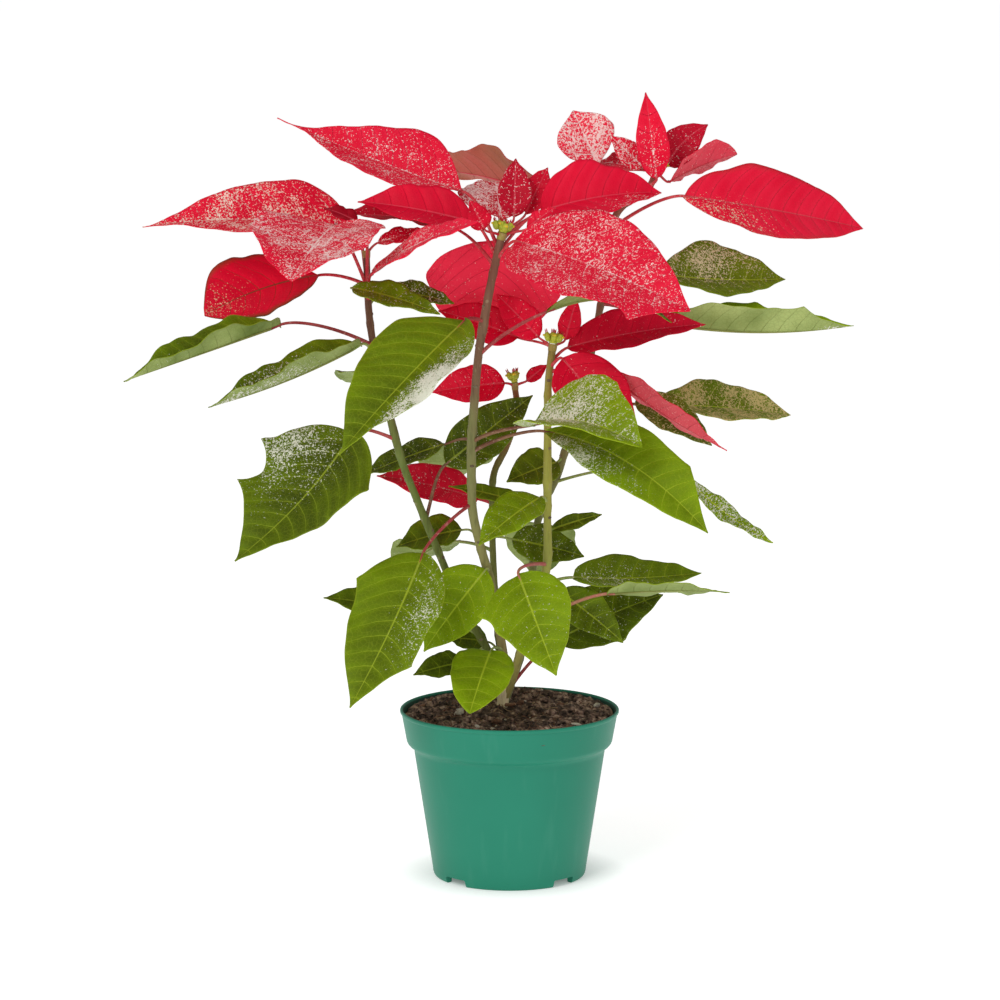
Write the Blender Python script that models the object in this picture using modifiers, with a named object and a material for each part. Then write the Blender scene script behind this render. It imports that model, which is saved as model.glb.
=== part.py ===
"""Poinsettia growing in a green plastic nursery pot.

Units are metres with +Z up. The tables hold millimetres and are scaled when meshes are made.
The origin is on the pot's axis, at the surface the pot stands on. The plant's broad side faces -Y.
"""
import math
from collections import namedtuple

import bmesh
import bpy
from mathutils import Matrix, Vector, noise

MM = 0.001
GAP = 0.3                    # clearance between pieces that touch
MERGE = 0.00001              # weld distance in metres

# pot: a 6-inch nursery pot, turned about the origin
POT_HEIGHT = 117.0
RIM_RADIUS = 76.0
COLLAR_HEIGHT = 25.0
WALL_TOP_RADIUS = 66.2
BASE_RADIUS = 53.4
WALL = 1.3
FLOOR_TOP = 7.2
FLOOR_UNDER = 5.6
FOOT_WIDTH = 2.4
POT_STEPS = 32
NOTCH_WIDTH = 18.6
NOTCH_HEIGHT = 5.0
NOTCH_ANGLES = (45, 135, 225, 315)

# soil
SOIL_LEVEL = 112.3
SOIL_MOUND = 2.5
SOIL_CLOD = 2.0
SOIL_TILT = 0.06             # the rise of the soil towards the back
SOIL_RINGS = 6

# blades
THICKNESS = 0.8
MIN_HALF_WIDTH = 0.7
PETIOLE_RADIUS = 1.1
SMALL_PETIOLE_RADIUS = 0.9
ROW_LENGTH = 17.0
ROWS_LEAST = 5
ROWS_MOST = 7
ROWS_SMALL = 4

Stem = namedtuple("Stem", "radius points")

# points along each axis: x, y, z and the radius as a share of the stem's own
STEMS = {
    "trunk": Stem(4.1, (
        (-5, 12, 64, 1.0), (-5, 12, 95, 1.0), (-5, 12, 112, 1.0),
        (-4, 12, 126, 1.0), (-3.5, 11, 136, 1.06), (-3, 10, 144, 0.9))),
    "stem_front": Stem(3.1, (
        (-3.2, 10.3, 138, 1.0), (-3.5, 9.5, 148, 1.0), (-6, 8, 164, 1.0), (-9, 5, 182, 1.0),
        (-14, 0, 209, 1.0), (-20, -4, 231, 0.98), (-25, -8, 254, 1.0), (-26, -10, 272, 0.97),
        (-26, -12, 303, 1.08), (-24, -14, 334, 0.93), (-21, -16, 367, 0.93),
        (-17, -18, 391, 1.0), (-13, -19, 413, 0.9), (-8, -20, 436, 0.87), (-6, -20, 444, 0.84))),
    "stem_left": Stem(2.6, (
        (-4, 12, 130, 1.0), (-9.5, 13, 142, 1.05), (-16, 14, 157, 1.05), (-25, 14, 172, 1.0),
        (-38, 12, 198, 1.0), (-49, 8, 225, 1.0), (-56, 5, 243, 1.05), (-65, 2, 266, 1.0),
        (-73, 0, 287, 1.0), (-79, -2, 309, 1.15), (-88, 2, 346, 0.95), (-94, 6, 373, 0.95),
        (-97, 10, 399, 0.95), (-98, 12, 429, 0.9))),
    "stem_right": Stem(2.9, (
        (-3, 11, 123, 1.0), (2.5, 8, 137, 1.0), (7, 4, 154, 1.0), (16, 0, 179, 1.0),
        (22, -4, 201, 1.0), (26, -6, 222, 1.1), (26, -6, 250, 0.93), (26, -6, 278, 1.05),
        (26, -6, 306, 0.9), (26, -4, 333, 0.88), (27, -2, 350, 0.88), (29, 0, 366, 0.9))),
    "stem_back": Stem(2.3, (
        (-4, 12, 134, 1.0), (-6, 18, 148, 1.0), (-9, 24, 175, 1.0), (-11, 30, 209, 1.0),
        (-12, 34, 237, 1.0), (-12, 36, 265, 1.0), (-10, 36, 279, 1.0), (-3, 36, 293, 1.0),
        (2, 36, 307, 0.95), (5, 36, 324, 0.95), (4, 36, 335, 0.95))),
    "stem_tall": Stem(2.6, (
        (-4, 12, 116, 1.0), (1.5, 17, 131, 1.0), (7, 24, 146, 1.0), (13, 34, 173, 1.0),
        (16, 42, 207, 1.0), (19, 48, 236, 1.0), (25, 50, 255, 1.0), (33, 50, 271, 1.0),
        (38, 50, 287, 1.05), (46, 50, 316, 0.95), (56, 48, 354, 0.95), (64, 46, 397, 0.95),
        (70, 44, 432, 0.95), (72, 42, 452, 0.95), (79, 40, 463, 0.95), (89, 38, 469, 0.95),
        (96, 38, 475, 0.95), (100, 38, 483, 0.9))),
}

Blade = namedtuple("Blade", "name stem height base tip width face arch bow fold peak taper ripple skew lobes")


def blade(name, stem, height, base, tip, width, face,
          arch=0.04, bow=0.0, fold=0.25, peak=0.38, taper=1.0, ripple=1.2, skew=0.0, lobes=()):
    """A leaf or bract: it leaves its stem at a height, and base to tip is its midrib's chord.

    face is the way its upper side looks. arch and bow bend the midrib up and to the left, as shares
    of the length. fold is the rise of each half in radians. The blade is widest at peak, and a higher
    taper draws its tip out. skew widens the left half and narrows the right one by a share.
    A lobe is (side, share of the length, millimetres), side +1 being the left.
    """
    return Blade(name, stem, height, base, tip, width, face,
                 arch, bow, fold, peak, taper, ripple, skew, lobes)


# large red bracts, each a piece of its own
BRACTS = (
    blade("bract_front_right", "stem_front", 430, (4, -30, 444), (117, -130, 407), 78, (-0.1, -0.7, 0.7),
          taper=0.9, lobes=((-1, 0.84, 16),)),
    blade("bract_upper_left", "stem_front", 438, (-32, 5, 475), (-161, 60, 522), 66, (0.1, -0.6, 0.8),
          arch=-0.02, fold=0.4, peak=0.34, taper=2.2),
    blade("bract_back", "stem_front", 441, (27, 60, 467), (-57, 120, 483), 64, (0.1, 0.6, 0.8),
          arch=0.04, ripple=2.4),
    blade("bract_back_middle", "stem_front", 436, (-6, 8, 456), (-10, 62, 478), 56, (0, -0.4, 0.9)),
    blade("bract_right", "stem_front", 434, (21, -5, 462), (104, 20, 473), 54, (-0.1, -0.7, 0.7),
          arch=0.06, fold=0.45),
    blade("bract_curled", "stem_front", 432, (-25, -12, 455), (-103, -10, 469), 38, (0.1, -0.7, 0.7), fold=0.4),
    blade("bract_left_inner", "stem_front", 426, (-41, 14, 450), (-118, 18, 458), 36, (0, -0.3, 0.9), fold=0.3),
    blade("bract_hanging", "stem_front", 420, (-9, 8, 440), (-15, 46, 367), 92, (0, -0.9, 0.4),
          fold=0.08, ripple=2.0),
    blade("bract_low_right", "stem_right", 358, (40, 5, 368), (134, 5, 384), 36, (0, -0.7, 0.7), fold=0.4),
    blade("bract_drooping", "stem_right", 355, (36, -9, 362), (85, -32, 302), 50, (-0.1, -0.8, 0.6)),
    blade("bract_low_far_right", "stem_right", 352, (68, -5, 351), (147, -40, 303), 36, (0.3, 0.5, 0.8),
          arch=-0.03),
    blade("bract_far_left", "stem_left", 412, (-108, 26, 446), (-250, 1, 451), 64, (0.05, -0.6, 0.8),
          arch=0.06, fold=0.4, peak=0.3, taper=1.35),
    blade("bract_left_front", "stem_left", 408, (-119, -6, 453), (-144, -92, 423), 92, (-0.1, -0.6, 0.75),
          peak=0.36, taper=0.8, ripple=1.8),
    blade("bract_left_middle", "stem_left", 404, (-103, -1, 454), (-126, -2, 464), 15, (0, -0.5, 0.8)),
    blade("bract_left_cross", "stem_left", 400, (-93, -14, 421), (-21, -75, 461), 38, (0, -0.5, 0.85), fold=0.15),
    blade("bract_left_low", "stem_left", 410, (-131, 24, 416), (-207, -16, 392), 60, (-0.2, -0.75, 0.6),
          arch=0.0, bow=-0.06, fold=0.3, peak=0.58, taper=0.65),
    blade("bract_far_right", "stem_tall", 447, (120, 30, 470), (250, 100, 442), 54, (0.05, -0.85, 0.5),
          arch=0.02, fold=0.2, peak=0.44, taper=0.9, skew=0.12),
    blade("bract_upright", "stem_tall", 474, (101, 30, 482), (93, 28, 541), 24, (0, -1, 0.2), fold=0.4),
    blade("bract_back_low", "stem_back", 255, (-22, 38, 258), (-92, 20, 277), 34, (0, -0.7, 0.7)),
)

# large green leaves, each a piece of its own
LEAVES = (
    blade("leaf_left_long", "stem_left", 369, (-155, -25, 387), (-253, -114, 359), 35, (0, 0.0, 1.0),
          arch=0.0, fold=0.85, ripple=2.2),
    blade("leaf_left_second", "stem_left", 362, (-101, -10, 372), (-202, -60, 335), 38, (0, -0.05, 1.0),
          arch=-0.03, fold=0.8, ripple=1.8),
    blade("leaf_left_lobed", "stem_left", 305, (-107, -15, 312), (-184, -80, 234), 72, (-0.3, -0.8, 0.5),
          arch=0.0, bow=0.05, peak=0.34, ripple=1.8, lobes=((-1, 0.34, 15), (-1, 0.62, 14), (1, 0.3, 6))),
    blade("leaf_frosted", "stem_front", 388, (-30, -35, 391), (-112, -125, 312), 72, (-0.3, -0.7, 0.6),
          arch=0.02, fold=0.35, taper=1.2, ripple=2.0, lobes=((1, 0.55, 3),)),
    blade("leaf_right_gold", "stem_tall", 412, (104, 40, 415), (194, 80, 408), 50, (-0.1, -0.7, 0.7),
          arch=-0.03, peak=0.45, taper=1.1, skew=0.2),
    blade("leaf_front_bright", "stem_front", 305, (17, -42, 321), (87, -110, 315), 72, (0, -0.55, 0.8),
          arch=0.11, fold=0.5, peak=0.36, taper=0.8, lobes=((1, 0.6, 4), (-1, 0.15, 4))),
    blade("leaf_inner_left", "stem_left", 248, (-44, 22, 285), (16, 30, 332), 36, (0.2, -0.9, 0.3)),
    blade("leaf_inner_right", "stem_front", 365, (25, -27, 396), (109, -40, 390), 40, (0, 0.1, 1), arch=0.14),
    blade("leaf_right_long", "stem_tall", 394, (107, 42, 381), (240, 52, 378), 46, (0, 0.1, 1.0),
          arch=-0.04, fold=0.9, lobes=((-1, 0.72, 5), (1, 0.5, 5))),
    blade("leaf_right_broad", "stem_tall", 322, (97, 30, 325), (198, 70, 313), 46, (0, -0.5, 0.8),
          arch=0.02, fold=0.3, peak=0.5, taper=0.9),
    blade("leaf_front_dark", "stem_front", 298, (24, -32, 315), (131, -105, 257), 52, (-0.2, -0.6, 0.8),
          arch=0.11, bow=0.03, fold=0.3, peak=0.5, lobes=((1, 0.75, 4),)),
    blade("leaf_right_low", "stem_right", 204, (44, 0, 209), (134, 30, 207), 38, (0, -0.5, 0.8),
          arch=-0.03, fold=0.3),
    blade("leaf_right_pale", "stem_right", 172, (67, -25, 202), (148, -65, 210), 36, (0, 0.4, 0.9),
          arch=0.02, fold=0.1),
    blade("leaf_right_base", "stem_tall", 128, (33, 30, 159), (108, 45, 189), 50, (0, -0.7, 0.7),
          lobes=((-1, 0.5, 4),)),
    blade("leaf_front_lobed", "stem_right", 219, (6, -42, 218), (31, -95, 159), 56, (-0.1, -0.9, 0.4),
          lobes=((-1, 0.32, 10),)),
    blade("leaf_front_left", "stem_front", 262, (-59, -30, 231), (-107, -95, 137), 62, (-0.2, -0.8, 0.5),
          arch=0.03, bow=0.03, lobes=((-1, 0.3, 5), (1, 0.7, 7))),
    blade("leaf_left_inner", "stem_front", 212, (-16, -8, 216), (-59, -16, 160), 46, (-0.2, -0.9, 0.4)),
    blade("leaf_back_right", "stem_tall", 300, (60, 85, 300), (95, 132, 266), 60, (0.3, 0.5, 0.8)),
    blade("leaf_back_middle", "stem_back", 292, (-25, 72, 288), (-55, 130, 250), 58, (-0.1, 0.6, 0.8)),
    blade("leaf_back_left", "stem_left", 335, (-88, 50, 345), (-100, 126, 322), 60, (-0.2, 0.5, 0.8)),
    blade("leaf_back_low", "stem_tall", 225, (22, 85, 232), (20, 130, 185), 54, (0.1, 0.7, 0.7)),
    blade("leaf_back_low_left", "stem_back", 222, (-45, 68, 222), (-80, 122, 190), 50, (-0.2, 0.6, 0.8)),
    blade("leaf_back_top", "stem_tall", 398, (85, 84, 402), (105, 130, 380), 48, (0.3, 0.5, 0.8)),
)

# small green leaves, grown into their stem's own piece
SMALL_LEAVES = (
    blade("", "stem_front", 306, (-45, 20, 299), (-104, 20, 276), 24, (0, -0.5, 0.8), arch=0.02),
    blade("", "stem_left", 404, (-107, -8, 410), (-47, -24, 394), 24, (0, -0.6, 0.8)),
    blade("", "stem_left", 396, (-86, 17, 406), (-38, 10, 398), 20, (0, -0.7, 0.7)),
    blade("", "stem_tall", 340, (88, 25, 331), (139, 0, 301), 30, (0, -0.7, 0.7)),
    blade("", "stem_tall", 268, (122, 20, 275), (181, -10, 235), 14, (0, -0.7, 0.7), arch=-0.08, ripple=2.0),
    blade("", "stem_right", 262, (21, -20, 268), (-21, -58, 241), 34, (-0.2, -0.7, 0.7)),
    blade("", "stem_right", 250, (12, 10, 258), (-42, 12, 271), 14, (0, -0.7, 0.7)),
    blade("", "stem_tall", 285, (33, 44, 283), (-2, 18, 273), 30, (0, -0.8, 0.5)),
    blade("", "stem_back", 232, (2, 28, 231), (52, 22, 220), 30, (0, -0.8, 0.5)),
    blade("", "stem_right", 236, (29, 8, 241), (64, 20, 250), 12, (0, -0.8, 0.5)),
    blade("", "stem_right", 192, (35, 5, 198), (78, -20, 167), 30, (0, -0.8, 0.5)),
    blade("", "stem_front", 236, (-33, 26, 238), (-79, 26, 226), 32, (0, -0.6, 0.8)),
    blade("", "stem_left", 166, (-76, 20, 182), (-129, 10, 193), 24, (0, -0.7, 0.7)),
    blade("", "stem_left", 158, (-31, 27, 144), (-67, 12, 138), 22, (0, -0.7, 0.7)),
    blade("", "stem_back", 150, (-15, 35, 157), (-46, 28, 161), 22, (0, -0.7, 0.7)),
    blade("", "stem_front", 156, (-13, -20, 161), (-27, -75, 129), 43, (0, -0.7, 0.7), peak=0.42, taper=0.6),
)

# small bracts round each bloom, grown from the end of its stem
YOUNG_BRACTS = {
    "young_bracts_front": ("stem_front", (
        blade("", "stem_front", 446, (3, 0, 458), (4, 9, 497), 24, (0, -0.9, 0.3)),
        blade("", "stem_front", 446, (12, -23, 452), (31, -22, 466), 12, (0, -0.7, 0.7)),
        blade("", "stem_front", 446, (-17, -30, 452), (-27, -37, 472), 16, (0, -0.9, 0.3)),
        blade("", "stem_front", 446, (11, 4, 460), (26, 22, 490), 20, (0, -0.9, 0.3)))),
    "young_bracts_right": ("stem_right", (
        blade("", "stem_right", 368, (6, 12, 374), (-49, 18, 392), 30, (0, -0.8, 0.5)),
        blade("", "stem_right", 368, (20, 5, 375), (-9, 13, 404), 24, (0, -0.9, 0.3)),
        blade("", "stem_right", 368, (38, 8, 373), (46, 12, 401), 16, (0, -0.9, 0.3)))),
    "young_bracts_back": ("stem_back", (
        blade("", "stem_back", 338, (-3, 33, 340), (-54, 30, 334), 30, (0, -0.8, 0.5)),
        blade("", "stem_back", 338, (12, 38, 341), (26, 40, 352), 10, (0, -0.9, 0.3)))),
    "young_bracts_left": ("stem_left", (
        blade("", "stem_left", 432, (-90, 18, 439), (-56, 26, 446), 14, (0, -0.7, 0.7)),
        blade("", "stem_left", 432, (-98, 27, 438), (-102, 46, 446), 12, (0, -0.9, 0.3)))),
    "young_bracts_tall": ("stem_tall", (
        blade("", "stem_tall", 480, (92, 40, 489), (69, 36, 511), 18, (0, -0.9, 0.3)),
        blade("", "stem_tall", 480, (109, 46, 490), (137, 50, 518), 26, (0, -0.9, 0.3), bow=0.08),
        blade("", "stem_tall", 480, (110, 40, 479), (158, 60, 497), 38, (0, 0.6, 0.8), peak=0.6, taper=0.6),
        blade("", "stem_tall", 480, (61, 52, 490), (44, 60, 527), 42, (0, -1, 0.3), peak=0.5),
        blade("", "stem_tall", 480, (90, 50, 487), (60, 78, 490), 26, (0, -0.6, 0.8)))),
}

# the yellow-green flower cups at the middle of each bloom: stem, number of cups, spread
FLOWERS = {
    "flowers_front": ("stem_front", 7, 6.4),
    "flowers_right": ("stem_right", 5, 5.4),
    "flowers_back": ("stem_back", 3, 3.2),
    "flowers_tall": ("stem_tall", 3, 3.0),
}
RECEPTACLE_LENGTH = 5.0
CUP_LENGTH = 5.5
CUP_RADIUS = 2.1

COLOURS = {
    "pot": ((0.035, 0.27, 0.18), 0.42),
    "soil": ((0.030, 0.018, 0.013), 0.95),
    "trunk": ((0.30, 0.22, 0.10), 0.80),
    "stem": ((0.13, 0.14, 0.035), 0.60),
    "leaf": ((0.10, 0.22, 0.015), 0.50),
    "bract": ((0.66, 0.006, 0.03), 0.50),
    "flower": ((0.42, 0.40, 0.03), 0.55),
}


def clear_scene():
    """Remove every object that is in the scene."""
    for thing in list(bpy.data.objects):
        bpy.data.objects.remove(thing, do_unlink=True)


def make_material(kind):
    """A plain surface of one of the named colours."""
    colour, roughness = COLOURS[kind]
    material = bpy.data.materials.new(kind)
    material.use_nodes = True
    shader = material.node_tree.nodes["Principled BSDF"]
    shader.inputs["Base Color"].default_value = (*colour, 1.0)
    shader.inputs["Roughness"].default_value = roughness
    shader.inputs["Metallic"].default_value = 0.0
    return material


def new_object(name, mesh, collection):
    """An object that holds a mesh, linked into a collection."""
    thing = bpy.data.objects.new(name, mesh)
    collection.objects.link(thing)
    return thing


def applied(thing):
    """Replace an object's mesh by what its modifiers make of it."""
    bpy.context.view_layer.update()
    depsgraph = bpy.context.evaluated_depsgraph_get()
    mesh = bpy.data.meshes.new_from_object(thing.evaluated_get(depsgraph))
    thing.modifiers.clear()
    thing.data = mesh
    return thing


def weld(mesh):
    """Join the points of a mesh that lie together."""
    work = bmesh.new()
    work.from_mesh(mesh)
    bmesh.ops.remove_doubles(work, verts=work.verts, dist=MERGE)
    work.to_mesh(mesh)
    work.free()


def join(thing, others, operation, collection):
    """Union or difference of an object with a list of others, which are removed if they are joined."""
    if not others:
        return thing
    group = bpy.data.collections.new(thing.name + "_group")
    bpy.context.scene.collection.children.link(group)
    for other in others:
        group.objects.link(other)
    modifier = thing.modifiers.new(operation.lower(), "BOOLEAN")
    modifier.operation = operation
    modifier.operand_type = "COLLECTION"
    modifier.collection = group
    modifier.solver = "MANIFOLD"
    applied(thing)
    if operation == "UNION":
        for other in others:
            bpy.data.objects.remove(other, do_unlink=True)
    bpy.data.collections.remove(group)
    return thing


def tube(name, points, radii, sides, collection):
    """A closed tube through points in millimetres, with a radius at each."""
    curve = bpy.data.curves.new(name, "CURVE")
    curve.dimensions = "3D"
    curve.bevel_depth = MM
    curve.bevel_resolution = (sides - 4) // 2
    curve.use_fill_caps = True
    spline = curve.splines.new("POLY")
    spline.points.add(len(points) - 1)
    for knot, point, radius in zip(spline.points, points, radii):
        knot.co = (point[0] * MM, point[1] * MM, point[2] * MM, 1.0)
        knot.radius = radius
    wire = new_object(name + "_axis", curve, collection)
    bpy.context.view_layer.update()
    mesh = bpy.data.meshes.new_from_object(wire.evaluated_get(bpy.context.evaluated_depsgraph_get()))
    weld(mesh)
    solid = new_object(name, mesh, collection)
    bpy.data.objects.remove(wire, do_unlink=True)
    return solid


def stem_tube(name, grow, collection):
    """A stem as a tube, made thicker all round by grow."""
    stem = STEMS[name]
    points = [point[:3] for point in stem.points]
    radii = [stem.radius * point[3] + grow for point in stem.points]
    return tube(name, points, radii, 8, collection)


def stem_point(name, height):
    """The point of a stem's axis at a height."""
    points = [Vector(point[:3]) for point in STEMS[name].points]
    for low, high in zip(points, points[1:]):
        if low.z <= height <= high.z:
            return low.lerp(high, (height - low.z) / (high.z - low.z))
    return points[-1]


def stem_end(name):
    """The last point of a stem's axis and its direction there."""
    points = [Vector(point[:3]) for point in STEMS[name].points]
    return points[-1], (points[-1] - points[-2]).normalized()


def blade_axes(spec):
    """Base, length and the along, left and up directions of a blade."""
    base = Vector(spec.base)
    chord = Vector(spec.tip) - base
    along = chord.normalized()
    face = Vector(spec.face)
    up = (face - along * face.dot(along)).normalized()
    return base, chord.length, along, up.cross(along), up


def half_width(spec, share, side):
    """Half the width of a blade on one side at a share of its length, with its lobes."""
    start = spec.taper * spec.peak / (1.0 - spec.peak)
    outline = (share / spec.peak) ** start * ((1.0 - share) / (1.0 - spec.peak)) ** spec.taper
    half = spec.width / 2 * outline * (1.0 + spec.skew * side)
    for lobe_side, place, size in spec.lobes:
        if lobe_side == side:
            half += size * max(0.0, 1.0 - abs(share - place) / 0.09)
    return max(half, MIN_HALF_WIDTH)


def blade_point(spec, share, across):
    """A point of a blade's middle surface: share of its length, and -1 to 1 across it."""
    base, length, along, left, up = blade_axes(spec)
    side = 1 if across > 0 else -1
    out = abs(across) * half_width(spec, share, side)
    wave = spec.ripple * across * across * math.sin(2 * math.pi * (2.3 * share + 0.3 * side))
    rise = out * math.sin(spec.fold) + wave
    sway = side * out * math.cos(spec.fold)
    bend = length * 4 * share * (1 - share)
    return (base + along * (length * share) + up * (spec.arch * bend + rise)
            + left * (spec.bow * bend + sway))


def blade_solid(spec, rows, columns, collection):
    """A thin waved blade: a grid bent to the blade's surface, split into triangles and given a thickness."""
    stations = [row / rows for row in range(rows + 1)]
    for _, place, _ in spec.lobes:
        nearest = min(range(1, rows), key=lambda row: abs(stations[row] - place))
        stations[nearest] = place
    work = bmesh.new()
    bmesh.ops.create_grid(work, x_segments=rows, y_segments=columns, size=1.0)
    for vert in work.verts:
        row = round((vert.co.x + 1) / 2 * rows)
        vert.co = blade_point(spec, stations[row], vert.co.y) * MM
    bmesh.ops.triangulate(work, faces=work.faces)
    mesh = bpy.data.meshes.new(spec.name or "blade")
    work.to_mesh(mesh)
    work.free()
    solid = new_object(spec.name or "blade", mesh, collection)
    shell = solid.modifiers.new("thickness", "SOLIDIFY")
    shell.thickness = THICKNESS * MM
    shell.offset = 0.0
    return applied(solid)


def petiole(spec, start, thick, steps, collection):
    """The stalk of a blade, from a point inside its stem to a little way along its midrib."""
    base = Vector(spec.base)
    reach = base - start
    entry = (blade_point(spec, 0.12, 0.0) - base).normalized()
    first = start + reach * 0.35 + Vector((0, 0, 0.10 * reach.length))
    second = base - entry * (0.22 * reach.length)
    points = []
    for step in range(steps + 1):
        t = step / steps
        points.append(start * (1 - t) ** 3 + first * (3 * t * (1 - t) ** 2)
                      + second * (3 * t * t * (1 - t)) + base * t ** 3)
    points.append(blade_point(spec, 0.14, 0.0))
    radii = [thick * (1.15 - 0.3 * step / steps) for step in range(steps + 1)]
    radii.append(thick * 0.3)
    return tube("petiole", points, radii, 4, collection)


def grow_small(spec, start, collection):
    """A small blade with its stalk, in one piece."""
    solid = blade_solid(spec, ROWS_SMALL, 2, collection)
    return join(solid, [petiole(spec, start, SMALL_PETIOLE_RADIUS, 2, collection)], "UNION", collection)


def grow_large(spec, start, collection):
    """A large blade with its stalk, in one piece."""
    length = (Vector(spec.tip) - Vector(spec.base)).length
    rows = min(ROWS_MOST, max(ROWS_LEAST, round(length / ROW_LENGTH)))
    solid = blade_solid(spec, rows, 4, collection)
    return join(solid, [petiole(spec, start, PETIOLE_RADIUS, 3, collection)], "UNION", collection)


def finish(thing, material):
    """Give a finished solid its material and shading."""
    thing.data.materials.clear()
    thing.data.materials.append(material)
    thing.data.shade_smooth()
    thing.data.set_sharp_from_angle(angle=math.radians(40))
    return thing


def turned(name, profile, steps, collection):
    """A solid turned about Z from a profile of radius and height in millimetres."""
    work = bmesh.new()
    verts = [work.verts.new((radius * MM, 0, height * MM)) for radius, height in profile]
    for first, second in zip(verts, verts[1:]):
        work.edges.new((first, second))
    mesh = bpy.data.meshes.new(name)
    work.to_mesh(mesh)
    work.free()
    solid = new_object(name, mesh, collection)
    screw = solid.modifiers.new("turn", "SCREW")
    screw.steps = steps
    screw.render_steps = steps
    screw.use_merge_vertices = True
    screw.merge_threshold = MERGE
    return applied(solid)


def make_pot(collection):
    """The pot: a tapered wall, a collar under the rim, a raised floor and four drain notches."""
    collar = POT_HEIGHT - COLLAR_HEIGHT
    profile = (
        (0, FLOOR_TOP), (BASE_RADIUS - WALL - 1.4, FLOOR_TOP), (BASE_RADIUS - WALL, FLOOR_TOP + 1.6),
        (WALL_TOP_RADIUS - WALL, collar - 4.0), (WALL_TOP_RADIUS + 0.1, collar + 1.0),
        (RIM_RADIUS - 6.3, collar + 2.4), (RIM_RADIUS - 5.2, collar + 5.5),
        (RIM_RADIUS - 2.2, POT_HEIGHT - 1.2), (RIM_RADIUS - 1.4, POT_HEIGHT),
        (RIM_RADIUS - 0.5, POT_HEIGHT), (RIM_RADIUS, POT_HEIGHT - 0.8), (RIM_RADIUS - 0.2, POT_HEIGHT - 2.2),
        (RIM_RADIUS - 1.1, POT_HEIGHT - 3.0), (RIM_RADIUS - 4.2, collar + 4.5),
        (RIM_RADIUS - 5.4, collar + 1.6), (RIM_RADIUS - 7.8, collar - 0.3),
        (WALL_TOP_RADIUS, collar - 3.5), (BASE_RADIUS, 4.0), (BASE_RADIUS - 0.9, 1.0),
        (BASE_RADIUS - 2.0, 0), (BASE_RADIUS - 2.0 - FOOT_WIDTH, 0),
        (BASE_RADIUS - 2.4 - FOOT_WIDTH, FLOOR_UNDER), (0, FLOOR_UNDER))
    pot = turned("pot", profile, POT_STEPS, collection)
    cutters = []
    for angle in NOTCH_ANGLES:
        bpy.ops.mesh.primitive_cube_add(size=MM)
        cutter = bpy.context.object
        place = Matrix.Rotation(math.radians(angle), 4, "Z") @ Matrix.Translation(
            (BASE_RADIUS * MM, 0, (NOTCH_HEIGHT / 2 - 1.0) * MM))
        size = Matrix.Diagonal((12.0, NOTCH_WIDTH, NOTCH_HEIGHT + 2.0, 1.0))
        cutter.data.transform(place @ size)
        cutters.append(cutter)
    join(pot, cutters, "DIFFERENCE", collection)
    for cutter in cutters:
        bpy.data.objects.remove(cutter, do_unlink=True)
    return pot


def soil_height(x, y):
    """The height of the soil, with a tilt, a mound round the trunk and clods."""
    away = math.hypot(x + 5, y - 12)
    mound = SOIL_MOUND * math.exp(-(away / 22.0) ** 2)
    clods = SOIL_CLOD * noise.noise(Vector((x, y, 3.0)) / 9.0)
    return SOIL_LEVEL + SOIL_TILT * y + mound + clods


def make_soil(collection):
    """The peat that fills the pot, with a plain hole for the trunk."""
    gap = GAP + 0.2
    collar = POT_HEIGHT - COLLAR_HEIGHT
    edge = RIM_RADIUS - 5.2 - gap + (SOIL_LEVEL - collar - 5.5) * 0.13
    rings = [(edge * ring / SOIL_RINGS, SOIL_LEVEL) for ring in range(SOIL_RINGS + 1)]
    profile = rings + [
        (RIM_RADIUS - 5.2 - gap, collar + 5.5), (RIM_RADIUS - 6.3 - gap, collar + 2.6),
        (WALL_TOP_RADIUS - gap - 0.3, collar + 1.4), (WALL_TOP_RADIUS - WALL - gap - 0.3, collar - 4.0),
        (BASE_RADIUS - WALL - gap, FLOOR_TOP + 2.0), (BASE_RADIUS - WALL - 1.7 - gap, FLOOR_TOP + GAP),
        (0, FLOOR_TOP + GAP)]
    soil = turned("soil", profile, POT_STEPS, collection)
    for vert in soil.data.vertices:
        x, y, z = vert.co / MM
        if z > SOIL_LEVEL - 0.5:
            share = min(1.0, (edge - math.hypot(x, y)) / 6.0 + 0.5)
            level = SOIL_LEVEL + SOIL_TILT * y
            vert.co.z = (level + (soil_height(x, y) - level) * share) * MM
    trunk = STEMS["trunk"]
    foot = Vector(trunk.points[0][:3]) - Vector((0, 0, GAP))
    top = Vector(trunk.points[2][:3]) + Vector((0, 0, 12))
    hole = trunk.radius + 2 * GAP
    cutter = tube("hole", (foot, top), (hole, hole), 8, collection)
    join(soil, [cutter], "DIFFERENCE", collection)
    bpy.data.objects.remove(cutter, do_unlink=True)
    return soil


def make_stems(collection):
    """The trunk and the stems that rise from it, each cut clear of those made before it."""
    made = {}
    clearances = []
    for name in STEMS:
        solid = stem_tube(name, 0.0, collection)
        small = [grow_small(spec, stem_point(name, spec.height), collection)
                 for spec in SMALL_LEAVES if spec.stem == name]
        join(solid, clearances, "DIFFERENCE", collection)
        join(solid, small, "UNION", collection)
        made[name] = solid
        clearances.append(stem_tube(name, GAP, collection))
    for clearance in clearances:
        bpy.data.objects.remove(clearance, do_unlink=True)
    return made


def make_blade(spec, collection):
    """A large leaf or bract, cut clear of the stem it grows on."""
    solid = grow_large(spec, stem_point(spec.stem, spec.height), collection)
    clearance = stem_tube(spec.stem, GAP, collection)
    join(solid, [clearance], "DIFFERENCE", collection)
    bpy.data.objects.remove(clearance, do_unlink=True)
    return solid


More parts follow.
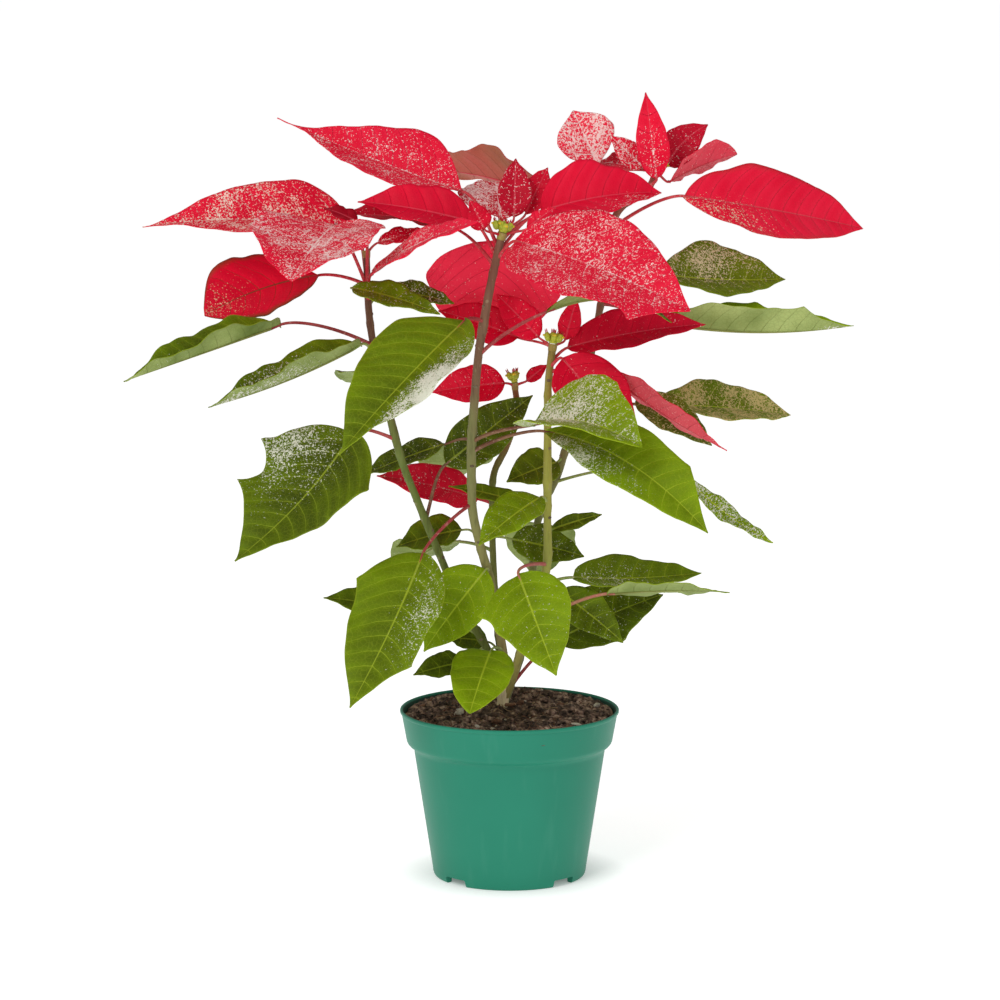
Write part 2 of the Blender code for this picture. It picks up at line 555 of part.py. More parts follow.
def make_young_bracts(name, stem, specs, collection):
    """The short top of a stem with its small bracts, in one piece."""
    end, way = stem_end(stem)
    radius = STEMS[stem].radius
    low = end + way * GAP
    high = low + way * RECEPTACLE_LENGTH
    solid = tube(name, (low, high), (radius, radius * 1.1), 8, collection)
    middle = (low + high) / 2
    small = [grow_small(spec, middle, collection) for spec in specs]
    return join(solid, small, "UNION", collection)


def make_flowers(name, stem, cups, spread, collection):
    """A cluster of small flower cups on a domed base."""
    end, way = stem_end(stem)
    foot = end + way * (RECEPTACLE_LENGTH + 2 * GAP)
    radius = STEMS[stem].radius
    solid = tube(name, (foot, foot + way * 2.4), (radius * 0.9, radius * 0.9 + 0.4), 8, collection)
    turn = way.to_track_quat("Z", "Y").to_matrix().to_4x4()
    blobs = []
    for cup in range(cups):
        angle = math.radians(137.5) * cup
        away = spread * math.sqrt((cup + 0.3) / cups)
        lean = Matrix.Rotation(math.radians(26) * away / spread, 4, Vector((-math.sin(angle), math.cos(angle), 0)))
        bpy.ops.mesh.primitive_uv_sphere_add(segments=5, ring_count=4, radius=MM)
        blob = bpy.context.object
        shape = Matrix.Diagonal((CUP_RADIUS, CUP_RADIUS, CUP_LENGTH * 0.62, 1.0))
        height = 2.0 + CUP_LENGTH * 0.5 - 0.02 * away * away
        place = Matrix.Translation((math.cos(angle) * away, math.sin(angle) * away, height))
        blob.data.transform(Matrix.Translation(foot * MM) @ turn @ Matrix.Scale(MM, 4) @ place @ lean
                            @ shape @ Matrix.Scale(1 / MM, 4))
        blobs.append(blob)
        if away > radius:
            root = foot + way * 1.4
            tip = (Matrix.Translation(foot) @ turn @ place).translation
            blobs.append(tube("stalk", (root, tip), (1.1, 1.0), 4, collection))
    return join(solid, blobs, "UNION", collection)


def main():
    """Build the whole plant in its pot."""
    clear_scene()
    plant = bpy.data.collections.new("poinsettia")
    bpy.context.scene.collection.children.link(plant)
    materials = {kind: make_material(kind) for kind in COLOURS}
    finish(make_pot(plant), materials["pot"])
    finish(make_soil(plant), materials["soil"])
    for name, solid in make_stems(plant).items():
        finish(solid, materials["trunk" if name == "trunk" else "stem"])
    for spec in LEAVES:
        finish(make_blade(spec, plant), materials["leaf"])
    for spec in BRACTS:
        finish(make_blade(spec, plant), materials["bract"])
    for name, (stem, specs) in YOUNG_BRACTS.items():
        finish(make_young_bracts(name, stem, specs, plant), materials["bract"])
    for name, (stem, cups, spread) in FLOWERS.items():
        finish(make_flowers(name, stem, cups, spread, plant), materials["flower"])


main()
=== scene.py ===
"""Looks for a poinsettia in a green plastic nursery pot.

Lengths are in millimetres in the tables and are scaled to metres when a mesh is made. The plant's
leaves and bracts follow the same surfaces as the solids, at a finer step, with veins and frosting.
"""
import math
import random
from collections import namedtuple

import bpy
from mathutils import Matrix, Vector, noise


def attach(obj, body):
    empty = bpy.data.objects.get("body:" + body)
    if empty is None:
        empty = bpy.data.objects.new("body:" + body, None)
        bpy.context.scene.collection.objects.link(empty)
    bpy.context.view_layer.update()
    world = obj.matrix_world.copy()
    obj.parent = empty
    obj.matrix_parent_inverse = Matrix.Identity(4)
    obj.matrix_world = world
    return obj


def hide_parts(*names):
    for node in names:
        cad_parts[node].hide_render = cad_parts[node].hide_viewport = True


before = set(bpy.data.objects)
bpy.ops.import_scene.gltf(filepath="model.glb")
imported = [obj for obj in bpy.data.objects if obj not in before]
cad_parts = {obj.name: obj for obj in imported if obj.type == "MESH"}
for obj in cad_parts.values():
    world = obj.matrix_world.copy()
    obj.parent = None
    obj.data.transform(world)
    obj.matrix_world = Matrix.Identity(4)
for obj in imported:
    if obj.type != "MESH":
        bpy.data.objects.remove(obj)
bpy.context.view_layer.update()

MM = 0.001

# pot
POT_HEIGHT = 117.0
RIM_RADIUS = 76.0
COLLAR_HEIGHT = 25.0
WALL_TOP_RADIUS = 66.2
BASE_RADIUS = 53.4
WALL = 1.3
FLOOR_TOP = 7.2
FLOOR_UNDER = 5.6
FOOT_WIDTH = 2.4
POT_SIDES = 192
NOTCH_WIDTH = 18.6
NOTCH_HEIGHT = 5.0
NOTCH_ANGLES = (45, 135, 225, 315)
COLLAR_FOOT = POT_HEIGHT - COLLAR_HEIGHT

# the pot's section, from the middle of its floor up inside, over the rim and down to the foot:
# a radius and a height, and the steps from them to the next points
POT_PROFILE = (
    (2.0, FLOOR_TOP, ((0.0, 0.0),)),
    (BASE_RADIUS - WALL, FLOOR_TOP, ((-2.6, 0.0), (-1.0, 0.5), (0.0, 1.8))),
    (WALL_TOP_RADIUS, COLLAR_FOOT, ((-WALL, -4.0), (0.5 - WALL, -1.4), (0.1, 0.6))),
    (RIM_RADIUS, COLLAR_FOOT, ((-7.4, 2.0), (-6.3, 2.9), (-5.4, 4.4), (-5.2, 5.8))),
    (RIM_RADIUS, POT_HEIGHT, ((-2.2, -1.4), (-1.9, -0.5), (-1.4, 0.0), (-0.6, 0.0), (-0.15, -0.4),
                              (0.0, -1.0), (-0.1, -2.0), (-0.5, -2.6), (-1.1, -3.0))),
    (RIM_RADIUS, COLLAR_FOOT, ((-4.2, 5.0), (-4.5, 3.2), (-5.1, 1.8), (-6.2, 0.5), (-7.8, -0.4),
                               (-9.0, -1.6))),
    (WALL_TOP_RADIUS, COLLAR_FOOT, ((0.0, -3.5), (-0.1, -5.0))),
    (BASE_RADIUS, 0.0, ((0.1, 5.0), (-0.15, 2.6), (-0.7, 1.0), (-1.2, 0.3), (-2.0, 0.0))),
    (BASE_RADIUS - FOOT_WIDTH, 0.0, ((-2.0, 0.0), (-2.5, 0.6), (-2.6, FLOOR_UNDER))),
    (2.0, FLOOR_UNDER, ((0.0, 0.0),)),
)

# soil
SOIL_LEVEL = 112.3
SOIL_MOUND = 2.5
SOIL_CLOD = 2.0
SOIL_TILT = 0.06             # the rise of the soil towards the back
SOIL_EDGE = RIM_RADIUS - 5.6 + (SOIL_LEVEL - COLLAR_FOOT - 5.5) * 0.13
TRUNK_AT = (-5.0, 12.0)

# blades
LEAF_THICKNESS = 0.5
MIN_HALF_WIDTH = 0.3
ROW_STEP = 2.2
VEIN_SPACING = 12.0
LOBE_REACH = 0.055           # as a share of the length
PETIOLE_RADIUS = 1.15
SMALL_PETIOLE_RADIUS = 0.9

Stem = namedtuple("Stem", "radius points")

# points along each axis: x, y, z and the radius as a share of the stem's own
STEMS = {
    "trunk": Stem(4.1, (
        (-5, 12, 64, 1.0), (-5, 12, 95, 1.0), (-5, 12, 112, 1.0),
        (-4, 12, 126, 1.0), (-3.5, 11, 136, 1.06), (-3, 10, 144, 0.9))),
    "stem_front": Stem(3.1, (
        (-3.2, 10.3, 138, 1.0), (-3.5, 9.5, 148, 1.0), (-6, 8, 164, 1.0), (-9, 5, 182, 1.0),
        (-14, 0, 209, 1.0), (-20, -4, 231, 0.98), (-25, -8, 254, 1.0), (-26, -10, 272, 0.97),
        (-26, -12, 303, 1.08), (-24, -14, 334, 0.93), (-21, -16, 367, 0.93),
        (-17, -18, 391, 1.0), (-13, -19, 413, 0.9), (-8, -20, 436, 0.87), (-6, -20, 444, 0.84))),
    "stem_left": Stem(2.6, (
        (-4, 12, 130, 1.0), (-9.5, 13, 142, 1.05), (-16, 14, 157, 1.05), (-25, 14, 172, 1.0),
        (-38, 12, 198, 1.0), (-49, 8, 225, 1.0), (-56, 5, 243, 1.05), (-65, 2, 266, 1.0),
        (-73, 0, 287, 1.0), (-79, -2, 309, 1.15), (-88, 2, 346, 0.95), (-94, 6, 373, 0.95),
        (-97, 10, 399, 0.95), (-98, 12, 429, 0.9))),
    "stem_right": Stem(2.9, (
        (-3, 11, 123, 1.0), (2.5, 8, 137, 1.0), (7, 4, 154, 1.0), (16, 0, 179, 1.0),
        (22, -4, 201, 1.0), (26, -6, 222, 1.1), (26, -6, 250, 0.93), (26, -6, 278, 1.05),
        (26, -6, 306, 0.9), (26, -4, 333, 0.88), (27, -2, 350, 0.88), (29, 0, 366, 0.9))),
    "stem_back": Stem(2.3, (
        (-4, 12, 134, 1.0), (-6, 18, 148, 1.0), (-9, 24, 175, 1.0), (-11, 30, 209, 1.0),
        (-12, 34, 237, 1.0), (-12, 36, 265, 1.0), (-10, 36, 279, 1.0), (-3, 36, 293, 1.0),
        (2, 36, 307, 0.95), (5, 36, 324, 0.95), (4, 36, 335, 0.95))),
    "stem_tall": Stem(2.6, (
        (-4, 12, 116, 1.0), (1.5, 17, 131, 1.0), (7, 24, 146, 1.0), (13, 34, 173, 1.0),
        (16, 42, 207, 1.0), (19, 48, 236, 1.0), (25, 50, 255, 1.0), (33, 50, 271, 1.0),
        (38, 50, 287, 1.05), (46, 50, 316, 0.95), (56, 48, 354, 0.95), (64, 46, 397, 0.95),
        (70, 44, 432, 0.95), (72, 42, 452, 0.95), (79, 40, 463, 0.95), (89, 38, 469, 0.95),
        (96, 38, 475, 0.95), (100, 38, 483, 0.9))),
}

# How a blade looks: its brightness, and frosting that is thickest at a spot (share of the length, across)
# and thins out over a reach. warm turns a leaf brown and its frosting gold, and gives a bract an olive
# margin and midrib, or an olive underside. stalk is the stalk's finish, if not the usual one.
Look = namedtuple("Look", "tone frost spot reach warm stalk", defaults=(0.0, (0.5, 0.0), 9.0, 0.0, None))

# A leaf or bract: it leaves its stem at a height, and base to tip is its midrib's chord. face is the way
# its upper side looks. arch and bow bend the midrib up and to the left, as shares of the length. fold is
# the rise of each half in radians. The blade is widest at peak, and a higher taper draws its tip out.
# skew widens the left half and narrows the right one by a share. A lobe is (side, share of the length,
# millimetres), side +1 being the left.
Blade = namedtuple("Blade", "name stem height base tip width face look "
                            "arch bow fold peak taper ripple skew lobes",
                   defaults=(0.04, 0.0, 0.25, 0.38, 1.0, 1.2, 0.0, ()))

# large red bracts, each a piece of its own
BRACTS = (
    Blade("bract_front_right", "stem_front", 430, (4, -30, 444), (117, -130, 407), 78, (-0.1, -0.7, 0.7),
          Look(0.75, 0.72, (0.35, 0.0), 1.2), taper=0.9, lobes=((-1, 0.84, 16),)),
    Blade("bract_upper_left", "stem_front", 438, (-32, 5, 475), (-161, 60, 522), 66, (0.1, -0.6, 0.8),
          Look(0.75, 0.62, (0.45, 0.3), 1.0), arch=-0.02, fold=0.4, peak=0.34, taper=2.2),
    Blade("bract_back", "stem_front", 441, (27, 60, 467), (-57, 120, 483), 64, (0.1, 0.6, 0.8),
          Look(1.0, warm=0.72), arch=0.04, ripple=2.4),
    Blade("bract_back_middle", "stem_front", 436, (-6, 8, 456), (-10, 62, 478), 56, (0, -0.4, 0.9),
          Look(0.6, 1.15)),
    Blade("bract_right", "stem_front", 434, (21, -5, 462), (104, 20, 473), 54, (-0.1, -0.7, 0.7),
          Look(0.72, 0.75, (0.75, -1.0), 0.42), arch=0.06, fold=0.45),
    Blade("bract_curled", "stem_front", 432, (-25, -12, 455), (-103, -10, 469), 38, (0.1, -0.7, 0.7),
          Look(0.6, 0.3, (0.2, 1.0), 0.4), fold=0.4),
    Blade("bract_left_inner", "stem_front", 426, (-41, 14, 450), (-118, 18, 458), 36, (0, -0.3, 0.9),
          Look(0.3, 0.2, (0.7, 0.0), 0.5), fold=0.3),
    Blade("bract_hanging", "stem_front", 420, (-9, 8, 440), (-15, 46, 367), 92, (0, -0.9, 0.4),
          Look(1.15, 0.1), fold=0.08, ripple=2.0),
    Blade("bract_low_right", "stem_right", 358, (40, 5, 368), (134, 5, 384), 36, (0, -0.7, 0.7),
          Look(0.5, 0.1), fold=0.4),
    Blade("bract_drooping", "stem_right", 355, (36, -9, 362), (85, -32, 302), 50, (-0.1, -0.8, 0.6),
          Look(0.62, 0.1)),
    Blade("bract_low_far_right", "stem_right", 352, (68, -5, 351), (147, -40, 303), 36, (0.3, 0.5, 0.8),
          Look(0.8, 0.4), arch=-0.03),
    Blade("bract_far_left", "stem_left", 412, (-108, 26, 446), (-250, 1, 451), 64, (0.05, -0.6, 0.8),
          Look(0.7, 0.95, (0.5, 0.0), 0.9, 0.12), arch=0.06, fold=0.4, peak=0.3, taper=1.35),
    Blade("bract_left_front", "stem_left", 408, (-119, -6, 453), (-144, -92, 423), 92, (-0.1, -0.6, 0.75),
          Look(0.75, 1.0, (0.35, 0.1), 1.2), peak=0.36, taper=0.8, ripple=1.8),
    Blade("bract_left_middle", "stem_left", 404, (-103, -1, 454), (-126, -2, 464), 15, (0, -0.5, 0.8),
          Look(0.1)),
    Blade("bract_left_cross", "stem_left", 400, (-93, -14, 421), (-21, -75, 461), 38, (0, -0.5, 0.85),
          Look(0.8, 0.9, (0.1, 0.3), 0.8), fold=0.15),
    Blade("bract_left_low", "stem_left", 410, (-131, 24, 416), (-207, -16, 392), 60, (-0.2, -0.75, 0.6),
          Look(0.55, 0.75, (0.95, 0.0), 0.4, 0.85), arch=0.0, bow=-0.06, fold=0.3, peak=0.58, taper=0.65),
    Blade("bract_far_right", "stem_tall", 447, (120, 30, 470), (250, 100, 442), 54, (0.05, -0.85, 0.5),
          Look(0.78, 0.8, (0.12, -0.6), 0.36, 0.25), arch=0.02, fold=0.2, peak=0.44, taper=0.9, skew=0.12),
    Blade("bract_upright", "stem_tall", 474, (101, 30, 482), (93, 28, 541), 24, (0, -1, 0.2),
          Look(0.75, 0.8, (0.15, 0.0), 0.5), fold=0.4),
    Blade("bract_back_low", "stem_back", 255, (-22, 38, 258), (-92, 20, 277), 34, (0, -0.7, 0.7),
          Look(0.75, 0.4, (0.6, 0.0), 0.6)),
)

# large green leaves, each a piece of its own
LEAVES = (
    Blade("leaf_left_long", "stem_left", 369, (-155, -25, 387), (-253, -114, 359), 35, (0, 0.0, 1.0),
          Look(0.5, 0.3, (0.95, 0.0), 0.4, stalk="red"), arch=0.0, fold=0.85, ripple=2.2),
    Blade("leaf_left_second", "stem_left", 362, (-101, -10, 372), (-202, -60, 335), 38, (0, -0.05, 1.0),
          Look(0.5, 1.1, (0.75, 0.0), 0.5), arch=-0.03, fold=0.8, ripple=1.8),
    Blade("leaf_left_lobed", "stem_left", 305, (-107, -15, 312), (-184, -80, 234), 72, (-0.3, -0.8, 0.5),
          Look(0.42, 0.95, (0.25, -0.75), 0.42, stalk="red"), arch=0.0, bow=0.05, peak=0.34, ripple=1.8,
          lobes=((-1, 0.34, 15), (-1, 0.62, 14), (1, 0.3, 6))),
    Blade("leaf_frosted", "stem_front", 388, (-30, -35, 391), (-112, -125, 312), 72, (-0.3, -0.7, 0.6),
          Look(0.6, 2.3, (0.5, 1.0), 0.33, stalk="red"), arch=0.02, fold=0.35, taper=1.2, ripple=2.0,
          lobes=((1, 0.55, 3),)),
    Blade("leaf_right_gold", "stem_tall", 412, (104, 40, 415), (194, 80, 408), 50, (-0.1, -0.7, 0.7),
          Look(0.65, 1.05, (0.35, 0.7), 0.7, warm=0.25), arch=-0.03, peak=0.45, taper=1.1, skew=0.2),
    Blade("leaf_front_bright", "stem_front", 305, (17, -42, 321), (87, -110, 315), 72, (0, -0.55, 0.8),
          Look(0.88, 1.15, (0.25, 0.1), 0.8, stalk="brown"), arch=0.11, fold=0.5, peak=0.36, taper=0.8,
          lobes=((1, 0.6, 4), (-1, 0.15, 4))),
    Blade("leaf_inner_left", "stem_left", 248, (-44, 22, 285), (16, 30, 332), 36, (0.2, -0.9, 0.3),
          Look(0.35, 0.3, stalk="brown")),
    Blade("leaf_inner_right", "stem_front", 365, (25, -27, 396), (109, -40, 390), 40, (0, 0.1, 1),
          Look(0.4, 0.2, stalk="red"), arch=0.14),
    Blade("leaf_right_long", "stem_tall", 394, (107, 42, 381), (240, 52, 378), 46, (0, 0.1, 1.0),
          Look(0.95, 3.0, (1.05, 0.0), 0.22, stalk="red"), arch=-0.04, fold=0.9,
          lobes=((-1, 0.72, 5), (1, 0.5, 5))),
    Blade("leaf_right_broad", "stem_tall", 322, (97, 30, 325), (198, 70, 313), 46, (0, -0.5, 0.8),
          Look(0.85, 1.2, warm=0.38, stalk="brown"), arch=0.02, fold=0.3, peak=0.5, taper=0.9),
    Blade("leaf_front_dark", "stem_front", 298, (24, -32, 315), (131, -105, 257), 52, (-0.2, -0.6, 0.8),
          Look(0.78, 1.15, (0.25, -0.9), 0.4, stalk="brown"), arch=0.11, bow=0.03, fold=0.3, peak=0.5,
          lobes=((1, 0.75, 4),)),
    Blade("leaf_right_low", "stem_right", 204, (44, 0, 209), (134, 30, 207), 38, (0, -0.5, 0.8),
          Look(0.55, 0.7, (0.2, -0.3), 0.5), arch=-0.03, fold=0.3),
    Blade("leaf_right_pale", "stem_right", 172, (67, -25, 202), (148, -65, 210), 36, (0, 0.4, 0.9),
          Look(0.7, stalk="pink"), arch=0.02, fold=0.1),
    Blade("leaf_right_base", "stem_tall", 128, (33, 30, 159), (108, 45, 189), 50, (0, -0.7, 0.7),
          Look(0.45, 0.2, stalk="red"), lobes=((-1, 0.5, 4),)),
    Blade("leaf_front_lobed", "stem_right", 219, (6, -42, 218), (31, -95, 159), 56, (-0.1, -0.9, 0.4),
          Look(0.82, 0.12, stalk="pink"), lobes=((-1, 0.32, 10),)),
    Blade("leaf_front_left", "stem_front", 262, (-59, -30, 231), (-107, -95, 137), 62, (-0.2, -0.8, 0.5),
          Look(0.62, 0.85, (0.35, 0.8), 0.35, stalk="red"), arch=0.03, bow=0.03,
          lobes=((-1, 0.3, 5), (1, 0.7, 7))),
    Blade("leaf_left_inner", "stem_front", 212, (-16, -8, 216), (-59, -16, 160), 46, (-0.2, -0.9, 0.4),
          Look(0.93, 0.1)),
    Blade("leaf_back_right", "stem_tall", 300, (60, 85, 300), (95, 132, 266), 60, (0.3, 0.5, 0.8),
          Look(0.45, 0.3)),
    Blade("leaf_back_middle", "stem_back", 292, (-25, 72, 288), (-55, 130, 250), 58, (-0.1, 0.6, 0.8),
          Look(0.5, 0.2)),
    Blade("leaf_back_left", "stem_left", 335, (-88, 50, 345), (-100, 126, 322), 60, (-0.2, 0.5, 0.8),
          Look(0.4, 0.3)),
    Blade("leaf_back_low", "stem_tall", 225, (22, 85, 232), (20, 130, 185), 54, (0.1, 0.7, 0.7), Look(0.5)),
    Blade("leaf_back_low_left", "stem_back", 222, (-45, 68, 222), (-80, 122, 190), 50, (-0.2, 0.6, 0.8),
          Look(0.45, 0.2)),
    Blade("leaf_back_top", "stem_tall", 398, (85, 84, 402), (105, 130, 380), 48, (0.3, 0.5, 0.8),
          Look(0.4, 0.4)),
)

# small green leaves along the stems, each a mesh of its own
SMALL_LEAVES = (
    Blade("", "stem_front", 306, (-45, 20, 299), (-104, 20, 276), 24, (0, -0.5, 0.8),
          Look(0.35, 0.3, stalk="brown"), arch=0.02),
    Blade("", "stem_left", 404, (-107, -8, 410), (-47, -24, 394), 24, (0, -0.6, 0.8), Look(0.68, 0.4)),
    Blade("", "stem_left", 396, (-86, 17, 406), (-38, 10, 398), 20, (0, -0.7, 0.7), Look(0.45, 0.8)),
    Blade("", "stem_tall", 340, (88, 25, 331), (139, 0, 301), 30, (0, -0.7, 0.7),
          Look(0.4, 0.8, warm=0.35, stalk="brown")),
    Blade("", "stem_tall", 268, (122, 20, 275), (181, -10, 235), 14, (0, -0.7, 0.7), Look(1.0, 1.1),
          arch=-0.08, ripple=2.0),
    Blade("", "stem_right", 262, (21, -20, 268), (-21, -58, 241), 34, (-0.2, -0.7, 0.7), Look(0.75, 0.2)),
    Blade("", "stem_right", 250, (12, 10, 258), (-42, 12, 271), 14, (0, -0.7, 0.7), Look(0.5)),
    Blade("", "stem_tall", 285, (33, 44, 283), (-2, 18, 273), 30, (0, -0.8, 0.5), Look(0.5, 0.1)),
    Blade("", "stem_back", 232, (2, 28, 231), (52, 22, 220), 30, (0, -0.8, 0.5), Look(0.45, 0.3)),
    Blade("", "stem_right", 236, (29, 8, 241), (64, 20, 250), 12, (0, -0.8, 0.5), Look(0.4)),
    Blade("", "stem_right", 192, (35, 5, 198), (78, -20, 167), 30, (0, -0.8, 0.5), Look(0.45, 0.2)),
    Blade("", "stem_front", 236, (-33, 26, 238), (-79, 26, 226), 32, (0, -0.6, 0.8), Look(0.5)),
    Blade("", "stem_left", 166, (-76, 20, 182), (-129, 10, 193), 24, (0, -0.7, 0.7), Look(0.45)),
    Blade("", "stem_left", 158, (-31, 27, 144), (-67, 12, 138), 22, (0, -0.7, 0.7), Look(0.4)),
    Blade("", "stem_back", 150, (-15, 35, 157), (-46, 28, 161), 22, (0, -0.7, 0.7), Look(0.4)),
    Blade("", "stem_front", 156, (-13, -20, 161), (-27, -75, 129), 43, (0, -0.7, 0.7), Look(0.95),
          peak=0.42, taper=0.6),
)

# small bracts round each bloom: they grow from the end of its stem, so their rows name no stem or height
YOUNG_BRACTS = {
    "young_bracts_front": ("stem_front", (
        Blade("", "", 0, (3, 0, 458), (4, 9, 497), 24, (0, -0.9, 0.3), Look(0.4, 0.5)),
        Blade("", "", 0, (12, -23, 452), (31, -22, 466), 12, (0, -0.7, 0.7), Look(0.7, 0.3)),
        Blade("", "", 0, (-17, -30, 452), (-27, -37, 472), 16, (0, -0.9, 0.3), Look(0.55, 0.3)),
        Blade("", "", 0, (11, 4, 460), (26, 22, 490), 20, (0, -0.9, 0.3), Look(0.6, 0.3)))),
    "young_bracts_right": ("stem_right", (
        Blade("", "", 0, (6, 12, 374), (-49, 18, 392), 30, (0, -0.8, 0.5), Look(0.6, 0.1)),
        Blade("", "", 0, (20, 5, 375), (-9, 13, 404), 24, (0, -0.9, 0.3), Look(0.7, 0.2)),
        Blade("", "", 0, (38, 8, 373), (46, 12, 401), 16, (0, -0.9, 0.3), Look(0.7, 0.1)))),
    "young_bracts_back": ("stem_back", (
        Blade("", "", 0, (-3, 33, 340), (-54, 30, 334), 30, (0, -0.8, 0.5), Look(0.75, 0.3)),
        Blade("", "", 0, (12, 38, 341), (26, 40, 352), 10, (0, -0.9, 0.3), Look(0.6, 0.1)))),
    "young_bracts_left": ("stem_left", (
        Blade("", "", 0, (-90, 18, 439), (-56, 26, 446), 14, (0, -0.7, 0.7), Look(0.6, 0.6)),
        Blade("", "", 0, (-98, 27, 438), (-102, 46, 446), 12, (0, -0.9, 0.3), Look(0.6, 0.3)))),
    "young_bracts_tall": ("stem_tall", (
        Blade("", "", 0, (92, 40, 489), (69, 36, 511), 18, (0, -0.9, 0.3), Look(0.7, 0.8)),
        Blade("", "", 0, (109, 46, 490), (137, 50, 518), 26, (0, -0.9, 0.3), Look(0.35, 0.3), bow=0.08),
        Blade("", "", 0, (110, 40, 479), (158, 60, 497), 38, (0, 0.6, 0.8), Look(0.7, 0.3), peak=0.6,
              taper=0.6),
        Blade("", "", 0, (61, 52, 490), (44, 60, 527), 42, (0, -1, 0.3), Look(0.9, 1.2), peak=0.5),
        Blade("", "", 0, (90, 50, 487), (60, 78, 490), 26, (0, -0.6, 0.8), Look(0.6, 0.5)))),
}

# the yellow-green flower cups at the middle of each bloom: stem, number of cups, spread
FLOWERS = {
    "flowers_front": ("stem_front", 7, 6.4),
    "flowers_right": ("stem_right", 5, 5.4),
    "flowers_back": ("stem_back", 3, 3.2),
    "flowers_tall": ("stem_tall", 3, 3.0),
}
RECEPTACLE_LENGTH = 5.0
CUP_LENGTH = 5.5
CUP_RADIUS = 2.1
CUP_BRIM = 0.85              # as a share of the cup's half height
CUP_LEAN = math.radians(26)
GOLDEN_ANGLE = math.radians(137.5)
USUAL_STALK = {"leaf": "green", "bract": "bract"}



# stalks and midribs: two colours, and how strongly they are speckled
STALK_FINISHES = {
    "stalk_red": ((0.30, 0.030, 0.035), (0.42, 0.070, 0.070), 0.3),
    "stalk_pink": ((0.50, 0.10, 0.12), (0.44, 0.22, 0.12), 0.3),
    "stalk_bract": ((0.52, 0.012, 0.030), (0.58, 0.06, 0.07), 0.3),
    "stalk_green": ((0.22, 0.30, 0.06), (0.34, 0.38, 0.12), 0.3),
    "stalk_brown": ((0.16, 0.060, 0.035), (0.26, 0.13, 0.07), 0.3),
    "rib_leaf": ((0.22, 0.24, 0.06), (0.28, 0.30, 0.08), 0.1),
    "rib_bract": ((0.56, 0.05, 0.07), (0.62, 0.11, 0.12), 0.1),
    "crown": ((0.30, 0.28, 0.05), (0.36, 0.13, 0.07), 0.3),
}

# bark: the heights that its colours change between, its relief, and the stops of its ramp
STEM_FINISHES = {
    # the trunk is pale tan bark, painted paler still as painted light that makes up for the shade the leaves
    # cast on it
    "trunk": (100, 145, 0.45, ((0.0, (0.92, 0.76, 0.50)), (1.0, (0.84, 0.68, 0.42)))),
    "stem_front": (140, 440, 0.4, (
        (0.0, (0.34, 0.25, 0.11)), (0.3, (0.23, 0.22, 0.07)), (0.55, (0.23, 0.23, 0.085)),
        (0.68, (0.21, 0.13, 0.075)), (1.0, (0.20, 0.075, 0.050)))),
    "stem_left": (130, 430, 0.4, (
        (0.0, (0.13, 0.15, 0.030)), (0.55, (0.13, 0.175, 0.035)), (0.8, (0.14, 0.075, 0.040)),
        (1.0, (0.18, 0.07, 0.050)))),
    "stem_right": (130, 365, 0.4, (
        (0.0, (0.34, 0.27, 0.09)), (0.4, (0.35, 0.36, 0.075)), (0.75, (0.34, 0.33, 0.055)),
        (1.0, (0.24, 0.17, 0.045)))),
    "stem_back": (130, 330, 0.4, (
        (0.0, (0.18, 0.19, 0.05)), (0.6, (0.16, 0.17, 0.04)), (1.0, (0.28, 0.11, 0.05)))),
    "stem_tall": (120, 480, 0.4, (
        (0.0, (0.20, 0.22, 0.08)), (0.45, (0.18, 0.18, 0.06)), (0.75, (0.20, 0.11, 0.06)),
        (1.0, (0.28, 0.07, 0.05)))),
}

# two close colours, the scale of their patches, and the roughness
PLAIN_FINISHES = {
    "cup": ((0.50, 0.54, 0.04), (0.34, 0.42, 0.03), 500.0, 0.42),
    "gland": ((0.78, 0.60, 0.03), (0.66, 0.50, 0.03), 500.0, 0.3),
    "tuft": ((0.60, 0.02, 0.02), (0.42, 0.012, 0.02), 500.0, 0.5),
    "hair": ((0.55, 0.50, 0.38), (0.70, 0.64, 0.50), 300.0, 0.6),
    "bud": ((0.045, 0.09, 0.02), (0.09, 0.12, 0.03), 300.0, 0.6),
    "scar": ((0.10, 0.065, 0.035), (0.22, 0.17, 0.10), 300.0, 0.6),
    "grit": ((0.42, 0.36, 0.28), (0.62, 0.57, 0.48), 400.0, 0.8),
    "bark": ((0.10, 0.045, 0.025), (0.20, 0.10, 0.055), 500.0, 0.85),
    "fibre": ((0.28, 0.18, 0.10), (0.38, 0.27, 0.16), 500.0, 0.85),
}

MIDRIB_STEPS = 14
QUILTING = 1.0               # how far a blade swells between its veins
JOINT_STEP = 34.0            # from one swelling of a stem to the next
STEM_STEP = 2.0
CRUMBS = 420
CRUMB_SIZES = (0.8, 1.1, 1.4, 1.9, 2.6, 3.6)
FIBRES = 110
HAIRS = 40                   # fine hairs on each stem

# the studio, in metres
CAMERA_AT = (-0.0066, -2.6, 0.66)
CAMERA_TURN = 81.32
CAMERA_LENS = 137.56
SKY = 0.42
KEY_POWER = 34.0
FILL_POWER = 6.0
FLOOR_GLOW = 0.62


